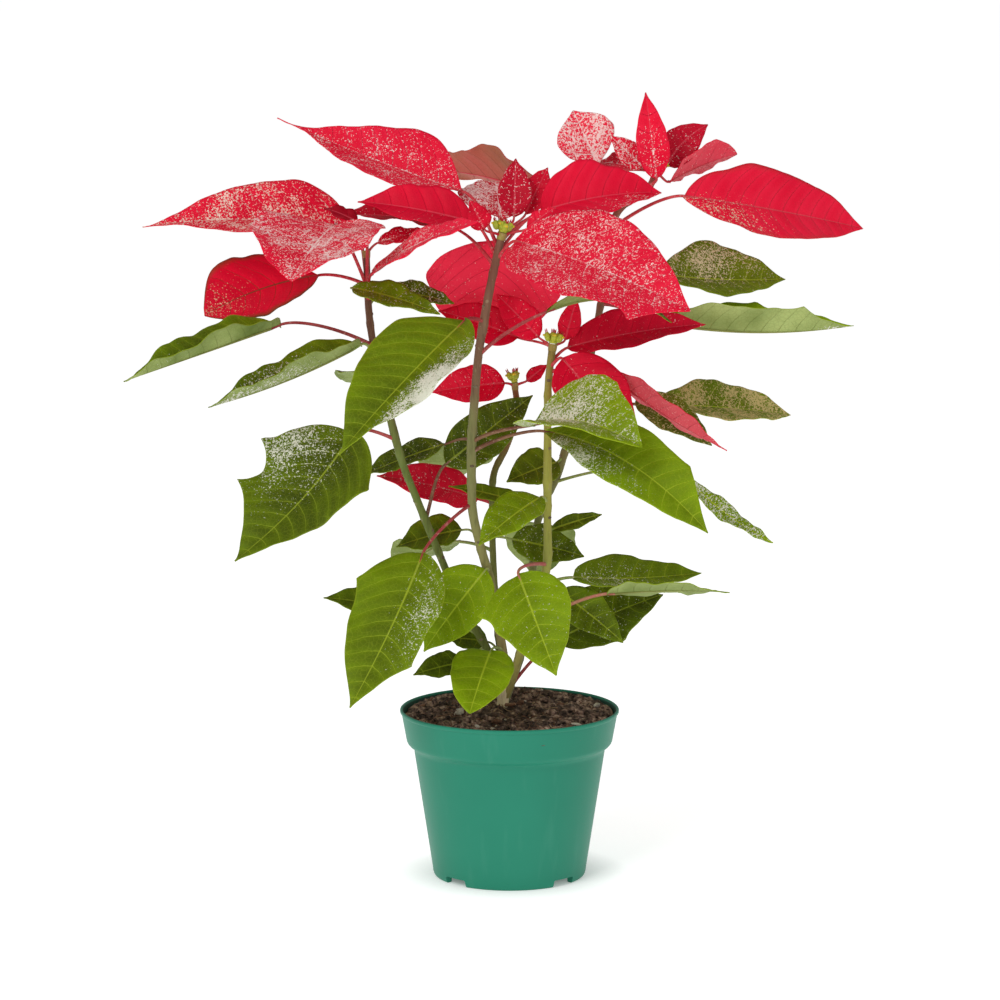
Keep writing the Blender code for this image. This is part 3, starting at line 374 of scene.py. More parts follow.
class Wire:
    """A shader socket that takes part in Python arithmetic."""

    def __init__(self, paint, socket):
        self.paint = paint
        self.socket = socket

    def math(self, operation, first, second=0.0, third=0.0, clamp=False):
        """One maths node in the wire's own material."""
        settings = {"operation": operation, "use_clamp": clamp}
        return self.paint.node("ShaderNodeMath", settings, {0: first, 1: second, 2: third})

    def __add__(self, other):
        return self.math("ADD", self, other)

    def __sub__(self, other):
        return self.math("SUBTRACT", self, other)

    def __rsub__(self, other):
        return self.math("SUBTRACT", other, self)

    def __mul__(self, other):
        return self.math("MULTIPLY", self, other)

    __radd__ = __add__
    __rmul__ = __mul__

    def size(self):
        return self.math("ABSOLUTE", self)

    def larger(self, other):
        return self.math("MAXIMUM", self, other)

    def fraction(self):
        return self.math("FRACT", self)

    def between(self, low, high):
        """0 at low and 1 at high, with nothing outside that range; low may be the larger of the two."""
        return self.math("MULTIPLY_ADD", self, 1.0 / (high - low), -low / (high - low), clamp=True)


class Paint:
    """A material under way, and the nodes that make it."""

    def __init__(self, name, roughness, specular=0.5):
        self.material = bpy.data.materials.new(name)
        self.material.use_nodes = True
        self.tree = self.material.node_tree
        self.shader = self.tree.nodes["Principled BSDF"]
        self.shader.inputs["Roughness"].default_value = roughness
        self.shader.inputs["Specular IOR Level"].default_value = specular

    def node(self, kind, settings=None, inputs=None, output=0):
        """One node: its settings first, then the values or links of its sockets."""
        made = self.tree.nodes.new(kind)
        for key, value in (settings or {}).items():
            setattr(made, key, value)
        for key, value in (inputs or {}).items():
            if isinstance(value, Wire):
                self.tree.links.new(value.socket, made.inputs[key])
            else:
                made.inputs[key].default_value = value
        return Wire(self, made.outputs[output])

    def vector_math(self, operation, first, second=(0.0, 0.0, 0.0), output=0):
        """One vector maths node."""
        return self.node("ShaderNodeVectorMath", {"operation": operation}, {0: first, 1: second}, output)

    def place(self):
        """A point's place on the whole object, in metres."""
        return self.node("ShaderNodeTexCoord", output="Object")

    def noise(self, scale, detail=2.0, stretch=(1.0, 1.0, 1.0)):
        """Noise from 0 to 1, with about scale waves a metre."""
        where = self.vector_math("MULTIPLY", self.place(), stretch)
        return self.node("ShaderNodeTexNoise", None, {"Vector": where, "Scale": scale, "Detail": detail})

    def cells(self, scale):
        """The distance to the edge of cells, with about scale cells a metre."""
        return self.node("ShaderNodeTexVoronoi", {"feature": "DISTANCE_TO_EDGE"},
                         {"Vector": self.place(), "Scale": scale})

    def height(self):
        """Height above the floor in millimetres."""
        return self.node("ShaderNodeSeparateXYZ", None, {0: self.place()}, output="Z") * 1000.0

    def painted(self, name):
        """The red, green, blue and alpha shares of a piece's own colour attribute."""
        colour = self.node("ShaderNodeAttribute", {"attribute_name": name}, output="Color")
        alpha = Wire(self, colour.socket.node.outputs["Alpha"])
        parts = self.node("ShaderNodeSeparateColor", None, {0: colour}).socket.node
        return [Wire(self, parts.outputs[index]) for index in range(3)] + [alpha]

    def vector(self, name):
        """The three numbers of a piece's own vector attribute."""
        found = self.node("ShaderNodeAttribute", {"attribute_name": name}, output="Vector")
        parts = self.node("ShaderNodeSeparateXYZ", None, {0: found}).socket.node
        return [Wire(self, parts.outputs[index]) for index in range(3)]

    def mix(self, share, first, second):
        """A colour between two: colours are wires or tuples of red, green and blue."""
        colours = [colour if isinstance(colour, Wire) else (*colour, 1.0) for colour in (first, second)]
        return self.node("ShaderNodeMix", {"data_type": "RGBA"},
                         {"Factor": share, 6: colours[0], 7: colours[1]}, output=2)

    def ramp(self, share, stops):
        """A colour from a ramp of (place, colour) stops."""
        made = self.node("ShaderNodeValToRGB", None, {0: share})
        elements = made.socket.node.color_ramp.elements
        while len(elements) < len(stops):
            elements.new(1.0)
        for element, (place, colour) in zip(elements, stops):
            element.position = place
            element.color = (*colour, 1.0)
        return made

    def colour(self, colour, *layers):
        """The base colour, with others laid over it in turn, each as (share, colour)."""
        for share, over in layers:
            colour = self.mix(share, colour, over)
        self.tree.links.new(colour.socket, self.shader.inputs["Base Color"])

    def roughness(self, wire):
        self.tree.links.new(wire.socket, self.shader.inputs["Roughness"])

    def bump(self, height, depth, strength=1.0):
        """Relief of so many millimetres from a height of 0 to 1."""
        made = self.node("ShaderNodeBump", None,
                         {"Strength": strength, "Distance": depth * MM, "Height": height})
        self.tree.links.new(made.socket, self.shader.inputs["Normal"])


def vein_lines(paint, edge):
    """The midrib, side veins and fine net of a blade, each 0 to 1, and the distance from a side vein."""
    out, share, phase = paint.vector("lie")
    side = (phase + 0.16 * (paint.noise(90.0) - 0.5) + 0.5).fraction() - 0.5
    from_vein = side.size() * VEIN_SPACING
    midrib = (out.size() - 0.7 * (1.0 - share)).between(0.4, 0.0)
    veins = (from_vein + 0.25 * edge).between(0.62, 0.16)
    net = paint.cells(330.0).between(0.09, 0.02)
    return midrib, veins, net, from_vein.between(0.8, 4.6)


def frost_mask(paint, amount, lines):
    """Pale glitter: fine flakes that crowd in drifts and along the veins."""
    flakes = 0.5 * paint.noise(1350.0, 2.0) + 0.5 * paint.noise(620.0, 2.0)
    level = amount * (1.5 * paint.noise(60.0, 3.0) - 0.1 + 0.45 * lines)
    return (flakes + 0.21 * level).between(0.655, 0.69) * amount.between(0.0, 0.06)


def leaf_top_paint():
    """The upper side of a green leaf: two greens, pale veins and a frosting of glitter."""
    paint = Paint("leaf_top", 0.5, 0.1)
    frost, tone, warm, edge = paint.painted("coat")
    midrib, veins, net, between = vein_lines(paint, edge)
    patches = paint.noise(26.0, 3.0)
    depth = tone + 0.7 * (patches - 0.5) + 0.16 * (edge - 0.6) - 0.09 * between
    green = paint.ramp(depth, ((0.0, (0.022, 0.034, 0.002)), (0.3, (0.070, 0.102, 0.002)),
                               (0.6, (0.140, 0.215, 0.002)), (1.0, (0.225, 0.350, 0.001))))
    brown = paint.ramp(patches, ((0.3, (0.045, 0.045, 0.006)), (0.7, (0.13, 0.095, 0.018))))
    pale = paint.mix(tone, (0.17, 0.21, 0.020), (0.46, 0.58, 0.03))
    snow = frost_mask(paint, frost, veins)
    flake = paint.mix((warm * 2.5).between(0.0, 1.0), (0.82, 0.82, 0.68), (0.66, 0.50, 0.20))
    paint.colour(green, (warm, brown), (net * 0.17, pale), (veins * 0.55, pale), (midrib * 0.8, pale),
                 (edge.between(0.965, 0.995) * 0.5, pale), (snow * 0.88, flake))
    paint.roughness(0.46 + 0.3 * snow + 0.1 * patches)
    paint.bump(0.35 * snow - 0.5 * veins - 0.5 * midrib - 0.3 * net, 0.45, 0.8)
    return paint.material


def leaf_under_paint():
    """The underside of a green leaf: pale and matte, with darker standing veins."""
    paint = Paint("leaf_under", 0.65, 0.15)
    frost, tone, warm, edge = paint.painted("coat")
    midrib, veins, net, _ = vein_lines(paint, edge)
    depth = paint.noise(30.0, 3.0) + 0.4 * (tone - 0.5)
    green = paint.ramp(depth, ((0.25, (0.12, 0.175, 0.028)), (0.75, (0.40, 0.48, 0.16))))
    line = paint.mix(warm, (0.12, 0.15, 0.018), (0.11, 0.035, 0.010))
    snow = frost_mask(paint, frost, veins)
    paint.colour(green, (warm * 0.7, (0.16, 0.09, 0.025)), (net * 0.2, line), (veins * 0.5, line),
                 (midrib * 0.5, line), (snow * 0.8, (0.80, 0.78, 0.70)))
    paint.bump(0.2 * snow + 0.6 * veins + 0.8 * midrib + 0.2 * net, 0.4, 0.7)
    return paint.material


def bract_top_paint():
    """The upper side of a red bract: velvety red with creased veins and white frosting."""
    paint = Paint("bract_top", 0.55, 0.12)
    frost, tone, warm, edge = paint.painted("coat")
    midrib, veins, net, between = vein_lines(paint, edge)
    patches = paint.noise(30.0, 3.0)
    depth = tone + 0.4 * (patches - 0.5) - 0.08 * between
    red = paint.ramp(depth, ((0.0, (0.28, 0.001, 0.010)), (0.35, (0.50, 0.001, 0.020)),
                             (0.65, (0.76, 0.003, 0.032)), (1.0, (0.92, 0.025, 0.07))))
    margin = (edge + 0.3 * (patches - 0.5)).between(0.84, 1.02)
    olive = margin.larger(veins * 0.5).larger(midrib)
    plain = 1.0 - warm
    snow = frost_mask(paint, frost, veins.larger(midrib))
    white = paint.mix(paint.noise(300.0, 1.0), (0.95, 0.58, 0.56), (0.98, 0.86, 0.80))
    white = paint.mix((warm * 3.0).between(0.0, 1.0), white, (0.85, 0.62, 0.38))
    paint.colour(red, (warm * olive, (0.085, 0.055, 0.010)), (veins * plain * 0.34, (0.36, 0.001, 0.014)),
                 (midrib * plain * 0.45, (0.80, 0.10, 0.14)), (snow * 0.9, white))
    paint.roughness(0.5 + 0.22 * snow)
    paint.bump(0.3 * snow - 0.7 * veins - 0.5 * midrib - 0.2 * net, 0.5, 0.8)
    return paint.material


def bract_under_paint():
    """The underside of a red bract: pinker, with darker veins."""
    paint = Paint("bract_under", 0.62, 0.16)
    frost, tone, warm, edge = paint.painted("coat")
    midrib, veins, net, _ = vein_lines(paint, edge)
    patches = paint.noise(24.0, 3.0)
    red = paint.ramp(tone + 0.5 * (patches - 0.5), ((0.0, (0.34, 0.006, 0.022)), (0.5, (0.66, 0.025, 0.06)),
                                                    (1.0, (0.80, 0.13, 0.15))))
    turning = paint.ramp(patches, ((0.3, (0.16, 0.14, 0.03)), (0.7, (0.40, 0.10, 0.05))))
    line = paint.mix(warm, (0.42, 0.006, 0.02), (0.06, 0.035, 0.006))
    snow = frost_mask(paint, frost, veins)
    paint.colour(red, (warm, turning), (veins * 0.5, line), (midrib * 0.5, line), (net * 0.12, line),
                 (snow * 0.5, (0.92, 0.70, 0.66)))
    paint.bump(0.7 * veins + 0.8 * midrib + 0.15 * net, 0.4, 0.7)
    return paint.material


def stalk_paint(name, low, high, mottle):
    """A leaf stalk: two colours that run into each other along it, with pale specks."""
    paint = Paint(name, 0.5, 0.25)
    runs = paint.noise(70.0, 3.0).between(0.35, 0.65)
    specks = paint.noise(500.0, 1.0).between(0.58, 0.70)
    paint.colour(low, (runs, high), (specks * mottle, (0.62, 0.42, 0.34)))
    paint.bump(paint.noise(400.0, 2.0), 0.1, 0.4)
    return paint.material


def stem_paint(name, low, high, ridges, stops):
    """Stem bark: colours that change from the low to the high height in millimetres."""
    paint = Paint(name, 0.62, 0.2)
    streaks = paint.noise(420.0, 3.0, (1.0, 1.0, 0.12))
    patches = paint.noise(45.0, 3.0, (1.0, 1.0, 0.5))
    dots = paint.noise(260.0, 1.0, (1.0, 1.0, 0.6)).between(0.70, 0.76)
    bark = paint.ramp(paint.height().between(low, high) + 0.5 * (patches - 0.5), stops)
    paint.colour(bark, (streaks.between(0.5, 0.75) * 0.25, (0.30, 0.26, 0.12)),
                 (streaks.between(0.45, 0.25) * 0.4, (0.035, 0.030, 0.012)), (dots * 0.4, (0.40, 0.34, 0.20)))
    paint.bump(streaks + 0.6 * dots, ridges, 0.8)
    return paint.material


def pot_paint():
    """Satin moulded green plastic, faintly streaked, and painted darker on its inner wall from 98 mm up to
    just under the rim.
    """
    paint = Paint("pot", 0.45, 0.22)
    clouds = paint.noise(14.0, 3.0)
    grain = paint.noise(900.0, 2.0)
    streaks = paint.noise(120.0, 3.0, (1.0, 1.0, 0.08))
    flat = paint.vector_math("MULTIPLY", paint.place(), (1.0, 1.0, 0.0))
    out = paint.vector_math("LENGTH", flat, output="Value") * 1000.0
    height = paint.height()
    wall = RIM_RADIUS - 4.4 + (height - COLLAR_FOOT - 5.5) * 0.15
    # the inner wall is painted near-black green from 98 mm up to just under the rim
    inside = (wall - out).between(0.0, 0.4) * height.between(116.4, 115.4) * height.between(97.0, 98.0)
    paint.colour((0.013, 0.205, 0.127), (clouds.between(0.3, 0.7), (0.017, 0.228, 0.143)),
                 (streaks.between(0.58, 0.85) * 0.10, (0.16, 0.42, 0.33)),
                 (inside * 0.8, (0.012, 0.030, 0.024)))
    paint.roughness(0.33 + 0.14 * clouds + 0.06 * grain)
    paint.bump(grain + 0.5 * streaks, 0.05, 0.35)
    return paint.material


def soil_paint():
    """Moist peat: near-black brown with dry crumbs."""
    paint = Paint("soil", 0.92, 0.2)
    crumbs = paint.noise(420.0, 5.0)
    lumps = paint.noise(90.0, 4.0)
    peat = paint.ramp(0.55 * crumbs + 0.45 * paint.noise(170.0, 3.0),
                      ((0.37, (0.018, 0.012, 0.010)), (0.46, (0.14, 0.088, 0.066)),
                       (0.56, (0.36, 0.235, 0.175)), (0.67, (0.62, 0.47, 0.37))))
    paint.colour(peat, (lumps.between(0.56, 0.42) * 0.72, (0.016, 0.011, 0.009)))
    paint.bump(crumbs + 0.6 * lumps, 1.2, 0.9)
    return paint.material


def plain_paint(name, first, second, scale, roughness):
    """Two close colours in small patches."""
    paint = Paint(name, roughness, 0.35)
    patches = paint.noise(scale, 3.0)
    paint.colour(first, (patches.between(0.35, 0.65), second))
    paint.bump(patches, 0.2, 0.5)
    return paint.material


def select_only(*things):
    """Select these objects and nothing else; the first one is the active one."""
    bpy.ops.object.select_all(action="DESELECT")
    for thing in things:
        thing.select_set(True)
    bpy.context.view_layer.objects.active = things[0]


def apply_modifiers(thing):
    """Apply every modifier of an object, in order."""
    select_only(thing)
    for name in [modifier.name for modifier in thing.modifiers]:
        bpy.ops.object.modifier_apply(modifier=name)


def name_piece(thing, name):
    """Give an object and its mesh the same name."""
    thing.name = name
    thing.data.name = name


def join_pieces(first, others):
    """Join other objects into the first one."""
    if others:
        select_only(first, *others)
        bpy.ops.object.join()
    return first


def settle(piece, slot, *nodes):
    """Let a finished piece ride on the plant, in the place of its nodes."""
    select_only(piece)
    bpy.ops.object.transform_apply(location=True, rotation=True, scale=True)
    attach(piece, "root")
    if nodes:
        name_piece(piece, nodes[0] + "_look")
        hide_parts(*nodes)


def finish(thing, name, material):
    """Name a new mesh, smooth it and give it its material alone."""
    name_piece(thing, name)
    bpy.ops.object.shade_smooth()
    thing.data.materials.clear()
    thing.data.materials.append(material)
    return thing


def tube(name, points, radii, material, sides=10):
    """A closed tube along points in millimetres, with a radius at each point."""
    bpy.ops.curve.primitive_bezier_curve_add()
    thing = bpy.context.object
    curve = thing.data
    curve.splines.clear()
    spline = curve.splines.new("POLY")
    spline.points.add(len(points) - 1)
    for knot, point, radius in zip(spline.points, points, radii):
        knot.co = (*(Vector(point) * MM), 1.0)
        knot.radius = radius
    curve.dimensions = "3D"
    curve.bevel_depth = MM
    curve.bevel_resolution = (sides - 4) // 2
    curve.use_fill_caps = True
    thing.location = (0, 0, 0)
    select_only(thing)
    bpy.ops.object.convert(target="MESH")
    return finish(bpy.context.object, name, material)


def ellipsoid(name, place, size, turn, material, segments=16):
    """A rounded lump in millimetres, turned about X, Y and Z."""
    bpy.ops.mesh.primitive_uv_sphere_add(segments=segments, ring_count=segments * 2 // 3, radius=MM)
    thing = bpy.context.object
    thing.scale = size
    thing.rotation_euler = turn
    thing.location = Vector(place) * MM
    bpy.ops.object.transform_apply(location=True, rotation=True, scale=True)
    return finish(thing, name, material)


def smooth_path(stem):
    """Points every few millimetres along a smooth line through a stem's own, with their knot numbers."""
    knots = [Vector(point[:3]) for point in stem.points]
    knots = [knots[0] * 2 - knots[1]] + knots + [knots[-1] * 2 - knots[-2]]
    path = []
    for index in range(1, len(knots) - 2):
        before, start, end, after = knots[index - 1:index + 3]
        count = max(2, round((end - start).length / STEM_STEP))
        for part in range(count):
            t = part / count
            place = 0.5 * (2 * start + (end - before) * t
                           + (2 * before - 5 * start + 4 * end - after) * t * t
                           + (3 * start - before - 3 * end + after) * t * t * t)
            path.append((place, index - 1 + t))
    path.append((knots[-2], len(knots) - 3.0))
    return path


def level(turn):
    """The level direction at an angle."""
    return Vector((math.cos(turn), math.sin(turn), 0.0))


def stem_point(name, height):
    """The point of a stem's axis at a height."""
    points = [Vector(point[:3]) for point in STEMS[name].points]
    for low, high in zip(points, points[1:]):
        if low.z <= height <= high.z:
            return low.lerp(high, (height - low.z) / (high.z - low.z))
    return points[-1]


def stem_end(name):
    """The last point of a stem's axis and its direction there."""
    points = [Vector(point[:3]) for point in STEMS[name].points]
    return points[-1], (points[-1] - points[-2]).normalized()


def blade_axes(spec):
    """Base, length and the along, left and up directions of a blade."""
    base = Vector(spec.base)
    chord = Vector(spec.tip) - base
    along = chord.normalized()
    face = Vector(spec.face)
    up = (face - along * face.dot(along)).normalized()
    return base, chord.length, along, up.cross(along), up


def half_width(spec, share, side):
    """Half the width of a blade on one side at a share of its length, with its lobes."""
    start = spec.taper * spec.peak / (1.0 - spec.peak)
    outline = (share / spec.peak) ** start * ((1.0 - share) / (1.0 - spec.peak)) ** spec.taper
    half = spec.width / 2 * outline * (1.0 + spec.skew * side)
    for lobe_side, place, size in spec.lobes:
        if lobe_side == side:
            half += size * math.exp(-abs(share - place) / LOBE_REACH)
    half *= 1.0 - 0.3 * math.exp(-((1.0 - share) / 0.09) ** 2)
    half *= 1.0 + 0.07 * noise.noise(Vector((share * 7.0, side * 4.0, spec.tip[0] * 0.1)))
    return max(half, MIN_HALF_WIDTH)


def vein_phase(out, share, length):
    """Which side vein a place lies by: whole numbers are on a vein."""
    return (share * length - 0.32 * out - 0.017 * out * out) / VEIN_SPACING + 0.35


def blade_point(spec, axes, share, across):
    """A point of a blade's middle surface, with its quilting between the veins, and its lie."""
    base, length, along, left, up = axes
    side = 1 if across > 0 else -1
    out = abs(across) * half_width(spec, share, side)
    wave = spec.ripple * across * across * math.sin(2 * math.pi * (2.3 * share + 0.3 * side))
    flutter = 0.35 * spec.ripple * abs(across) ** 4 * math.sin(2 * math.pi * (6.1 * share + 0.2 * side))
    phase = vein_phase(out, share, length)
    swell = QUILTING * (abs(math.sin(math.pi * phase)) ** 0.7 - 0.5)
    swell *= min(1.0, 5.0 * abs(across) * (1.05 - abs(across))) * min(1.0, out / 5.0)
    rise = out * math.sin(spec.fold) + wave + flutter + swell
    sway = side * out * math.cos(spec.fold)
    bend = length * 4 * share * (1 - share)
    place = (base + along * (length * share) + up * (spec.arch * bend + rise)
             + left * (spec.bow * bend + sway))
    return place, (out * side, share, phase)


def coat_at(look, share, across):
    """Frosting, tone, warmth and nearness to the edge at a place of a blade."""
    away = math.hypot(share - look.spot[0], 0.45 * (across - look.spot[1]))
    near = max(0.0, min(1.0, 1.3 - away / look.reach))
    return look.frost * near, look.tone, look.warm, abs(across)


def blade_sheet(name, spec, top, under):
    """A thin blade: a grid laid on the blade's surface, given a thickness and a paler underside."""
    axes = blade_axes(spec)
    bpy.ops.mesh.primitive_grid_add(x_subdivisions=max(8, 2 * round(spec.width / 2 / ROW_STEP)),
                                    y_subdivisions=max(10, round(axes[1] / ROW_STEP)), size=2.0)
    sheet = finish(bpy.context.object, name, top)
    mesh = sheet.data
    mesh.materials.append(under)
    lies = []
    coats = []
    for vert in mesh.vertices:
        across = -vert.co.x
        share = 0.5 + vert.co.y / 2
        place, lie = blade_point(spec, axes, share, across)
        vert.co = place * MM
        lies += lie
        coats += coat_at(spec.look, share, across)
    for key, kind, field, values in (("lie", "FLOAT_VECTOR", "vector", lies),
                                     ("coat", "FLOAT_COLOR", "color", coats)):
        mesh.attributes.new(key, kind, "POINT")
        mesh.attributes[key].data.foreach_set(field, values)
    shell = sheet.modifiers.new("thickness", "SOLIDIFY")
    shell.thickness = LEAF_THICKNESS * MM
    shell.offset = 0.0
    shell.material_offset = 1
    apply_modifiers(sheet)
    return sheet


def petiole(name, spec, start, thick, material, rib):
    """The stalk of a blade, from its stem to the base and on as the midrib of the underside."""
    axes = blade_axes(spec)
    base, length, along, left, up = axes
    reach = base - start
    entry = (blade_point(spec, axes, 0.12, 0.0)[0] - base).normalized()
    first = start + reach * 0.35 + Vector((0, 0, 0.10 * reach.length))
    second = base - entry * (0.22 * reach.length)
    steps = max(6, round(reach.length / 3.0))
    points = []
    radii = []
    for step in range(steps + 1):
        t = step / steps
        points.append(start * (1 - t) ** 3 + first * (3 * t * (1 - t) ** 2)
                      + second * (3 * t * t * (1 - t)) + base * t ** 3)
        radii.append(thick * (1.15 - 0.3 * t + 0.35 * math.exp(-t * 14.0)))
    for step in range(1, MIDRIB_STEPS + 1):
        share = 0.92 * step / MIDRIB_STEPS
        place = blade_point(spec, axes, share, 0.0)[0]
        radii.append(thick * 0.85 * (1.0 - share) ** 0.8)
        points.append(place - up * (radii[-1] * 0.62))
    stalk = tube(name, points, radii, material, 8)
    stalk.data.materials.append(rib)
    for face in stalk.data.polygons:
        if (face.center / MM - base).dot(along) > 0.05 * length:
            face.material_index = 1
    return stalk


def grow_blade(name, spec, family, start, thick, paints):
    """A blade with its stalk. The family is leaf or bract."""
    sheet = blade_sheet(name, spec, paints[family + "_top"], paints[family + "_under"])
    colour = "stalk_" + (spec.look.stalk or USUAL_STALK[family])
    stalk = petiole(name + "_stalk", spec, start, thick, paints[colour], paints["rib_" + family])
    return join_pieces(sheet, [stalk])


def make_large(specs, family, paints):
    """Every leaf or bract that is a piece of its own."""
    for spec in specs:
        start = stem_point(spec.stem, spec.height)
        settle(grow_blade(spec.name, spec, family, start, PETIOLE_RADIUS, paints), family, spec.name)


def make_small_leaves(paints):
    """The small leaves along the stems."""
    for number, spec in enumerate(SMALL_LEAVES, 1):
        start = stem_point(spec.stem, spec.height)
        name = f"small_leaf_{number:02d}"
        settle(grow_blade(name, spec, "leaf", start, SMALL_PETIOLE_RADIUS, paints), "leaf")


def stem_radius(stem, knot):
    """The radius of a stem at a knot number, which may be between two knots."""
    low = min(int(knot), len(stem.points) - 2)
    share = knot - low
    return stem.radius * (stem.points[low][3] * (1 - share) + stem.points[low + 1][3] * share)


def make_stem(name, paint, sides=24):
    """A stem with a swelling at each joint and a little unevenness between them."""
    stem = STEMS[name]
    joints = random.Random(name)
    swellings = [joints.uniform(0.9, 1.1) * JOINT_STEP * number for number in range(1, 12)]
    points = []
    radii = []
    run = 0.0
    last = None
    for place, knot in smooth_path(stem):
        run += (place - last).length if last else 0.0
        last = place
        near = min(abs(run - swelling) for swelling in swellings)
        uneven = 0.05 * noise.noise(place / 9.0)
        points.append(place)
        radii.append(stem_radius(stem, knot) * (1.0 + 0.14 * math.exp(-(near / 2.2) ** 2) + uneven))
    return tube(name, points, radii, paint, sides)


def make_marks(name, paints):
    """Scars where older leaves have dropped, and short fine hairs on the young upper half of a stem."""
    stem = STEMS[name]
    path = smooth_path(stem)
    marks = []
    seed = random.Random(name + "scars")
    for index in range(8, len(path) - 8, seed.randint(11, 14)):
        place, knot = path[index]
        turn = seed.uniform(0, 2 * math.pi)
        place = place + level(turn) * stem_radius(stem, knot) * 0.96
        spin = (0, 0, turn + math.pi / 2)
        marks.append(ellipsoid("scar", place, (1.5, 0.5, 1.1), spin, paints["scar"], 12))
    seed = random.Random(name + "hairs")
    for _ in range(HAIRS):
        place, knot = path[seed.randrange(len(path) // 2, len(path) - 6)]
        out = level(seed.uniform(0, 2 * math.pi))
        root = place + out * (stem_radius(stem, knot) - 0.2)
        length = seed.uniform(0.8, 1.4)
        points = (root, root + out * length * 0.6, root + out * length + Vector((0.0, 0.0, 0.3)))
        marks.append(tube("hair", points, (0.07, 0.06, 0.02), paints["hair"], 4))
    return marks


def make_trunk(paints):
    """The old wood at the foot: grooved bark, a ring scar, a bud and the stub of a twig."""
    trunk = make_stem("trunk", paints["trunk"], 40)
    foot, top = STEMS["trunk"].points[0][2], STEMS["trunk"].points[-1][2]
    for vert in trunk.data.vertices:
        x, y, z = vert.co / MM
        middle = stem_point("trunk", max(foot, min(top - 0.1, z)))
        away = Vector((x - middle.x, y - middle.y, 0.0))
        turn = math.atan2(away.y, away.x)
        groove = 0.22 * math.sin(9 * turn + 0.05 * z) + 0.30 * noise.noise(Vector((3 * turn, z / 14.0, 1.0)))
        if away.length > 0.5:
            vert.co += away.normalized() * groove * MM
    ring = [Vector((-3.3 + 4.3 * math.cos(a), 11 + 4.3 * math.sin(a), 137 + 0.9 * math.sin(a + 0.6)))
            for a in (2 * math.pi * step / 24 for step in range(25))]
    parts = [tube("ring_scar", ring, [0.55] * 25, paints["trunk"], 8),
             ellipsoid("trunk_bud", (-7.3, 7.9, 130.0), (1.3, 1.2, 1.7), (0, 0.4, 0), paints["bud"]),
             tube("twig_stub", ((-2.6, 8.5, 117.5), (1.2, 5.4, 118.4), (4.2, 3.4, 119.2)), (1.3, 1.15, 0.9),
                  paints["stalk_brown"])]
    settle(join_pieces(trunk, parts), "trunk", "trunk")


def ball(segments, rings, material):
    """A smooth ball of radius 1, which still has to be brought to its size and place."""
    bpy.ops.mesh.primitive_uv_sphere_add(segments=segments, ring_count=rings, radius=1.0)
    return finish(bpy.context.object, "ball", material)


def make_cup(cup, angle, shape, paints):
    """One flower cup: a ribbed green cup, a yellow gland on its outer side and a red tuft in its mouth."""
    body = ball(16, 12, paints["cup"])
    for vert in body.data.vertices:
        ribs = 1.0 + 0.06 * math.cos(5 * math.atan2(vert.co.y, vert.co.x))
        narrow = 1.0 - 0.28 * max(0.0, vert.co.z)
        vert.co.x *= ribs * narrow
        vert.co.y *= ribs * narrow
        if vert.co.z > CUP_BRIM:
            vert.co.z = CUP_BRIM - 1.6 * (vert.co.z - CUP_BRIM)
    body.data.transform(shape)
    gland = (0.95 * level(angle) + Vector((0, 0, 0.42)), (0.34, 0.62, 0.24), angle, "gland")
    tuft = [(0.32 * level(turn) + Vector((0, 0, 1.05)), (0.14, 0.14, tall), 0.0, "tuft")
            for turn, tall in ((0.4 + cup, 0.55), (1.9 + cup, 0.35), (3.2 + cup, 0.50), (4.8 + cup, 0.30))]
    parts = [body]
    for place, size, turn, kind in [gland] + tuft:
        part = ball(10, 8, paints[kind])
        spin = Matrix.Rotation(turn, 4, "Z")
        part.data.transform(shape @ Matrix.Translation(place) @ spin @ Matrix.Diagonal((*size, 1.0)))
        parts.append(part)
    return parts


def make_flowers(name, stem, cups, spread, paints):
    """A cluster of flower cups on its domed base at the end of a stem."""
    end, way = stem_end(stem)
    foot = end + way * (RECEPTACLE_LENGTH + 0.35)
    radius = STEMS[stem].radius
    dome = tube(name, [foot + way * step for step in (0.0, 0.8, 1.6, 2.4)],
                [radius * 0.9, radius * 0.9 + 0.3, radius * 0.9 + 0.3, radius * 0.7], paints["cup"], 20)
    turn = Matrix.Translation(foot) @ way.to_track_quat("Z", "Y").to_matrix().to_4x4()
    size = Matrix.Diagonal((CUP_RADIUS * 1.1, CUP_RADIUS * 1.1, CUP_LENGTH * 0.66, 1.0))
    parts = []
    for cup in range(cups):
        angle = GOLDEN_ANGLE * cup
        away = spread * math.sqrt((cup + 0.3) / cups)
        lean = Matrix.Rotation(CUP_LEAN * away / spread, 4, Vector((-math.sin(angle), math.cos(angle), 0)))
        height = 2.0 + CUP_LENGTH * 0.5 - 0.02 * away * away
        place = turn @ Matrix.Translation((math.cos(angle) * away, math.sin(angle) * away, height))
        parts += make_cup(cup, angle, Matrix.Scale(MM, 4) @ place @ lean @ size, paints)
        tip = place.translation
        parts.append(tube("cup_stalk", (foot + way * 1.4, foot.lerp(tip, 0.6), tip), (1.1, 1.0, 1.0),
                          paints["cup"], 8))
    settle(join_pieces(dome, parts), "flower", name)


def make_young_bracts(name, stem, specs, paints):
    """The short top of a stem with its ring of small bracts."""
    end, way = stem_end(stem)
    radius = STEMS[stem].radius
    low = end + way * 0.02
    high = low + way * RECEPTACLE_LENGTH
    middle = (low + high) / 2
    top = tube(name, (low, middle, high), (radius, radius * 1.08, radius * 1.1), paints["crown"], 20)
    parts = [grow_blade(f"{name}_{number}", spec, "bract", middle, SMALL_PETIOLE_RADIUS, paints)
             for number, spec in enumerate(specs, 1)]
    settle(join_pieces(top, parts), "bract", name)


